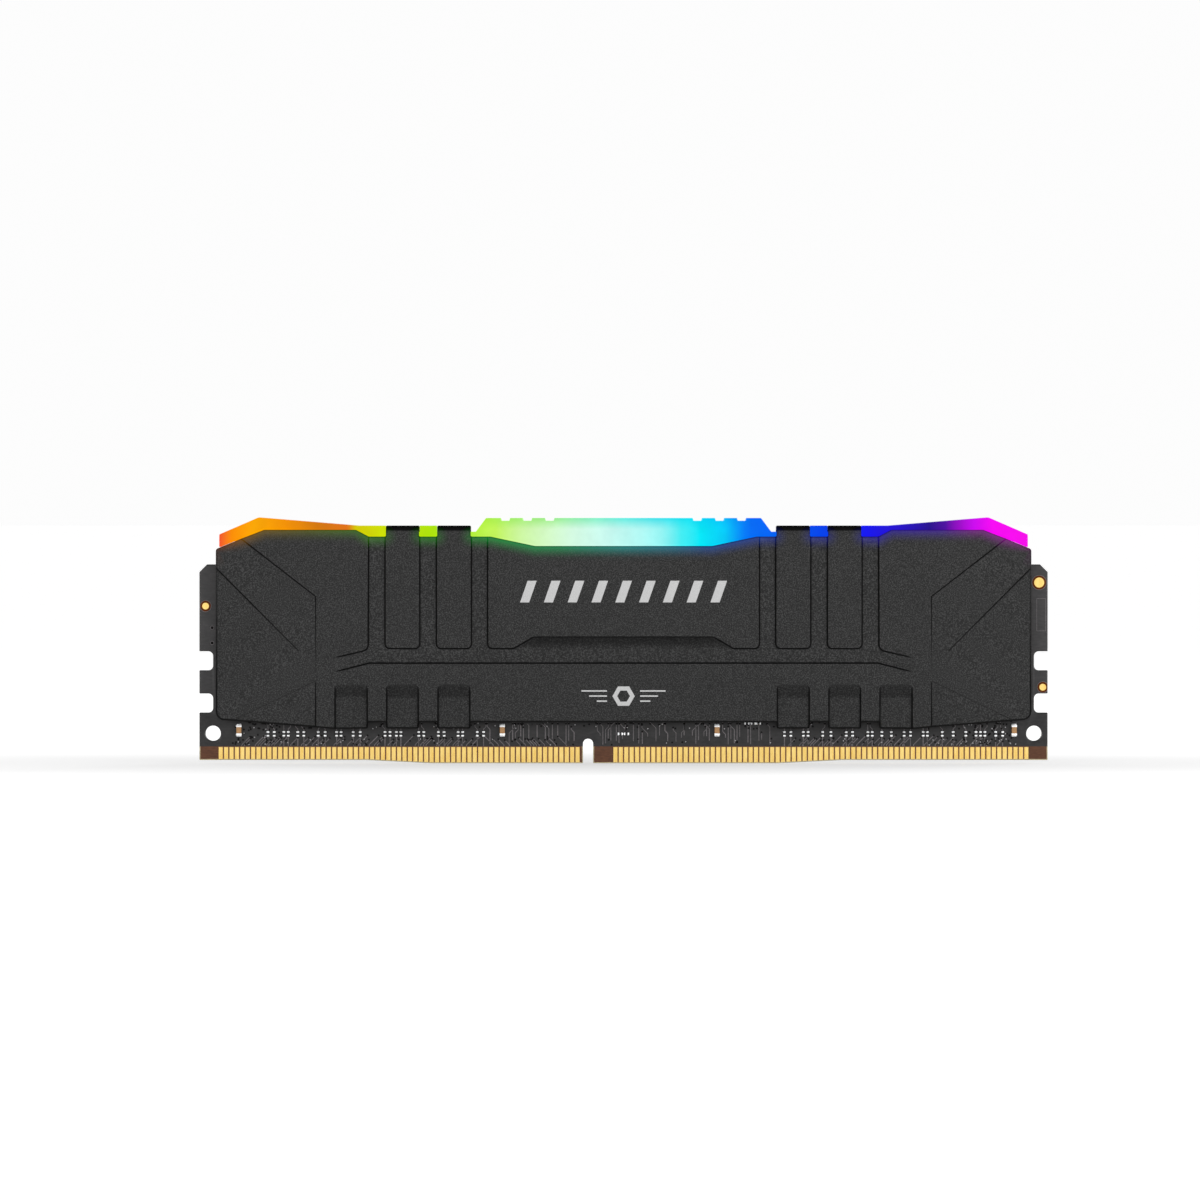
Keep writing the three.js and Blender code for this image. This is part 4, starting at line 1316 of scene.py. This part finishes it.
def build_fiducials():
    """Round alignment marks of bare gold, each in a dark ring free of solder mask."""
    add_joined("alignment_marks", round_marks(FIDUCIALS, 0, 0.05), GOLD, "gold_contact")
    pairs = zip(MARKING_FRAME, MARKING_FRAME[1:])
    sides = [ribbon(pair, 0.1, -BOARD_FACE - 0.025, SUNK - BOARD_FACE) for pair in pairs]
    add_joined("marking_frame", sides, TRACE)
    add_joined("alignment_windows", round_marks(FIDUCIALS, 0.3, 0.035), RING)
    lips = round_marks(FIDUCIALS, 0.4, 0.02) + round_marks(EAR_VIAS, 0.1, 0.02, 20)
    add_joined("mask_lips", lips, TRACE)
    add_joined("ear_vias", round_marks(EAR_VIAS, 0, 0.035, 20), VIA)


# Material and softened edge of the CAD pieces that stay, by how their names start.
HIDDEN_LOOKS = {
    "dram_": (MOULDING, 0.08), "spd_eeprom": (MOULDING, 0.08), "led_controller": (MOULDING, 0.08),
    "led_": (LED_CASE, 0.08), "thermal_pad": (PAD_RUBBER, 0.06), "rating_label": (PAPER, 0.02),
}


def dress_hidden_parts():
    """Gives the CAD pieces that stay their materials and softened edges."""
    for name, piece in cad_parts.items():
        looks = [look for start, look in HIDDEN_LOOKS.items() if name.startswith(start)]
        if looks:
            dress(piece, *looks[0])


def dress(piece, material, bevel_mm):
    piece.data.materials.clear()
    piece.data.materials.append(material)
    bevel = piece.modifiers.new("soft_edges", "BEVEL")
    bevel.width = bevel_mm * MM
    bevel.segments = 2
    bevel.limit_method = "ANGLE"


# ---- ornaments

def add_print(name, outlines, y_surface, side, material, slot):
    """Thin printed shapes lying on a flat surface."""
    outer, inner = y_surface + side * 0.012, y_surface - side * 0.02
    add_joined(name, [slab(shape, shape, outer, inner) for shape in outlines], material, slot)


def rectangle(left, right, low, high):
    return [(left, low), (right, low), (right, high), (left, high)]


def slanted_bars(centre, width, low, high, count):
    """A row of equal leaning bars, in place of a word."""
    pitch = width / count
    lean = (high - low) * 0.35
    bars = []
    for i in range(count):
        left = centre - width / 2 + i * pitch + (pitch * 0.3) / 2
        right = left + pitch * 0.7 - lean
        bars.append([(left, low), (right, low), (right + lean, high), (left + lean, high)])
    return bars


def hexagon_ring(x, z, outer_radius, inner_radius):
    """The six sides of a hexagonal ring."""
    outer, inner = circle(x, z, outer_radius, 6), circle(x, z, inner_radius, 6)
    return [[outer[i], outer[(i + 1) % 6], inner[(i + 1) % 6], inner[i]] for i in range(6)]


def winged_lines(x_start, line_width, lines):
    """Lines of given (height, reach) on both sides of the middle."""
    return [
        rectangle(*sorted((end * x_start, end * reach)), z, z + line_width)
        for end in (-1, 1) for z, reach in lines
    ]


def label_bars():
    """A random bar pattern and four plain lines, in place of a code and text."""
    bars, x = [], -LABEL_HIGH[0] + 2.5
    chance = random.Random(3)
    while x < -4:
        width = chance.choice((0.2, 0.3, 0.5))
        bars.append(rectangle(x, x + width, 8.6, 13.7))
        x += width + chance.choice((0.25, 0.4))
    for row in range(4):
        z = 9.0 + 1.2 * row
        bars.append(rectangle(2, 19 - 3 * (row % 2), z, z + 0.4))
    return bars


def build_prints():
    marks = slanted_bars(0, 33.6, 25.3, 28.7, 9) + hexagon_ring(0, 10.6, 1.75, 1.0)
    marks += winged_lines(2.6, 0.22, ((11.3, 6.6), (10.5, 5.4), (9.7, 4.2)))
    add_print("front_print", marks, -RAISED, -1, PRINT, "print")
    add_print("label_bars", label_bars(), LABEL_HIGH[1], 1, INK, "label")


# ---- assembly

set_stage()
build_spreader("spreader_front", "heat_spreader_front", labelled=False)
build_spreader("spreader_back", "heat_spreader_back", labelled=True)
build_light_bar()
build_board()
build_contacts()
build_capacitors()
build_resistors()
build_tracks()
build_fiducials()
build_prints()
dress_hidden_parts()
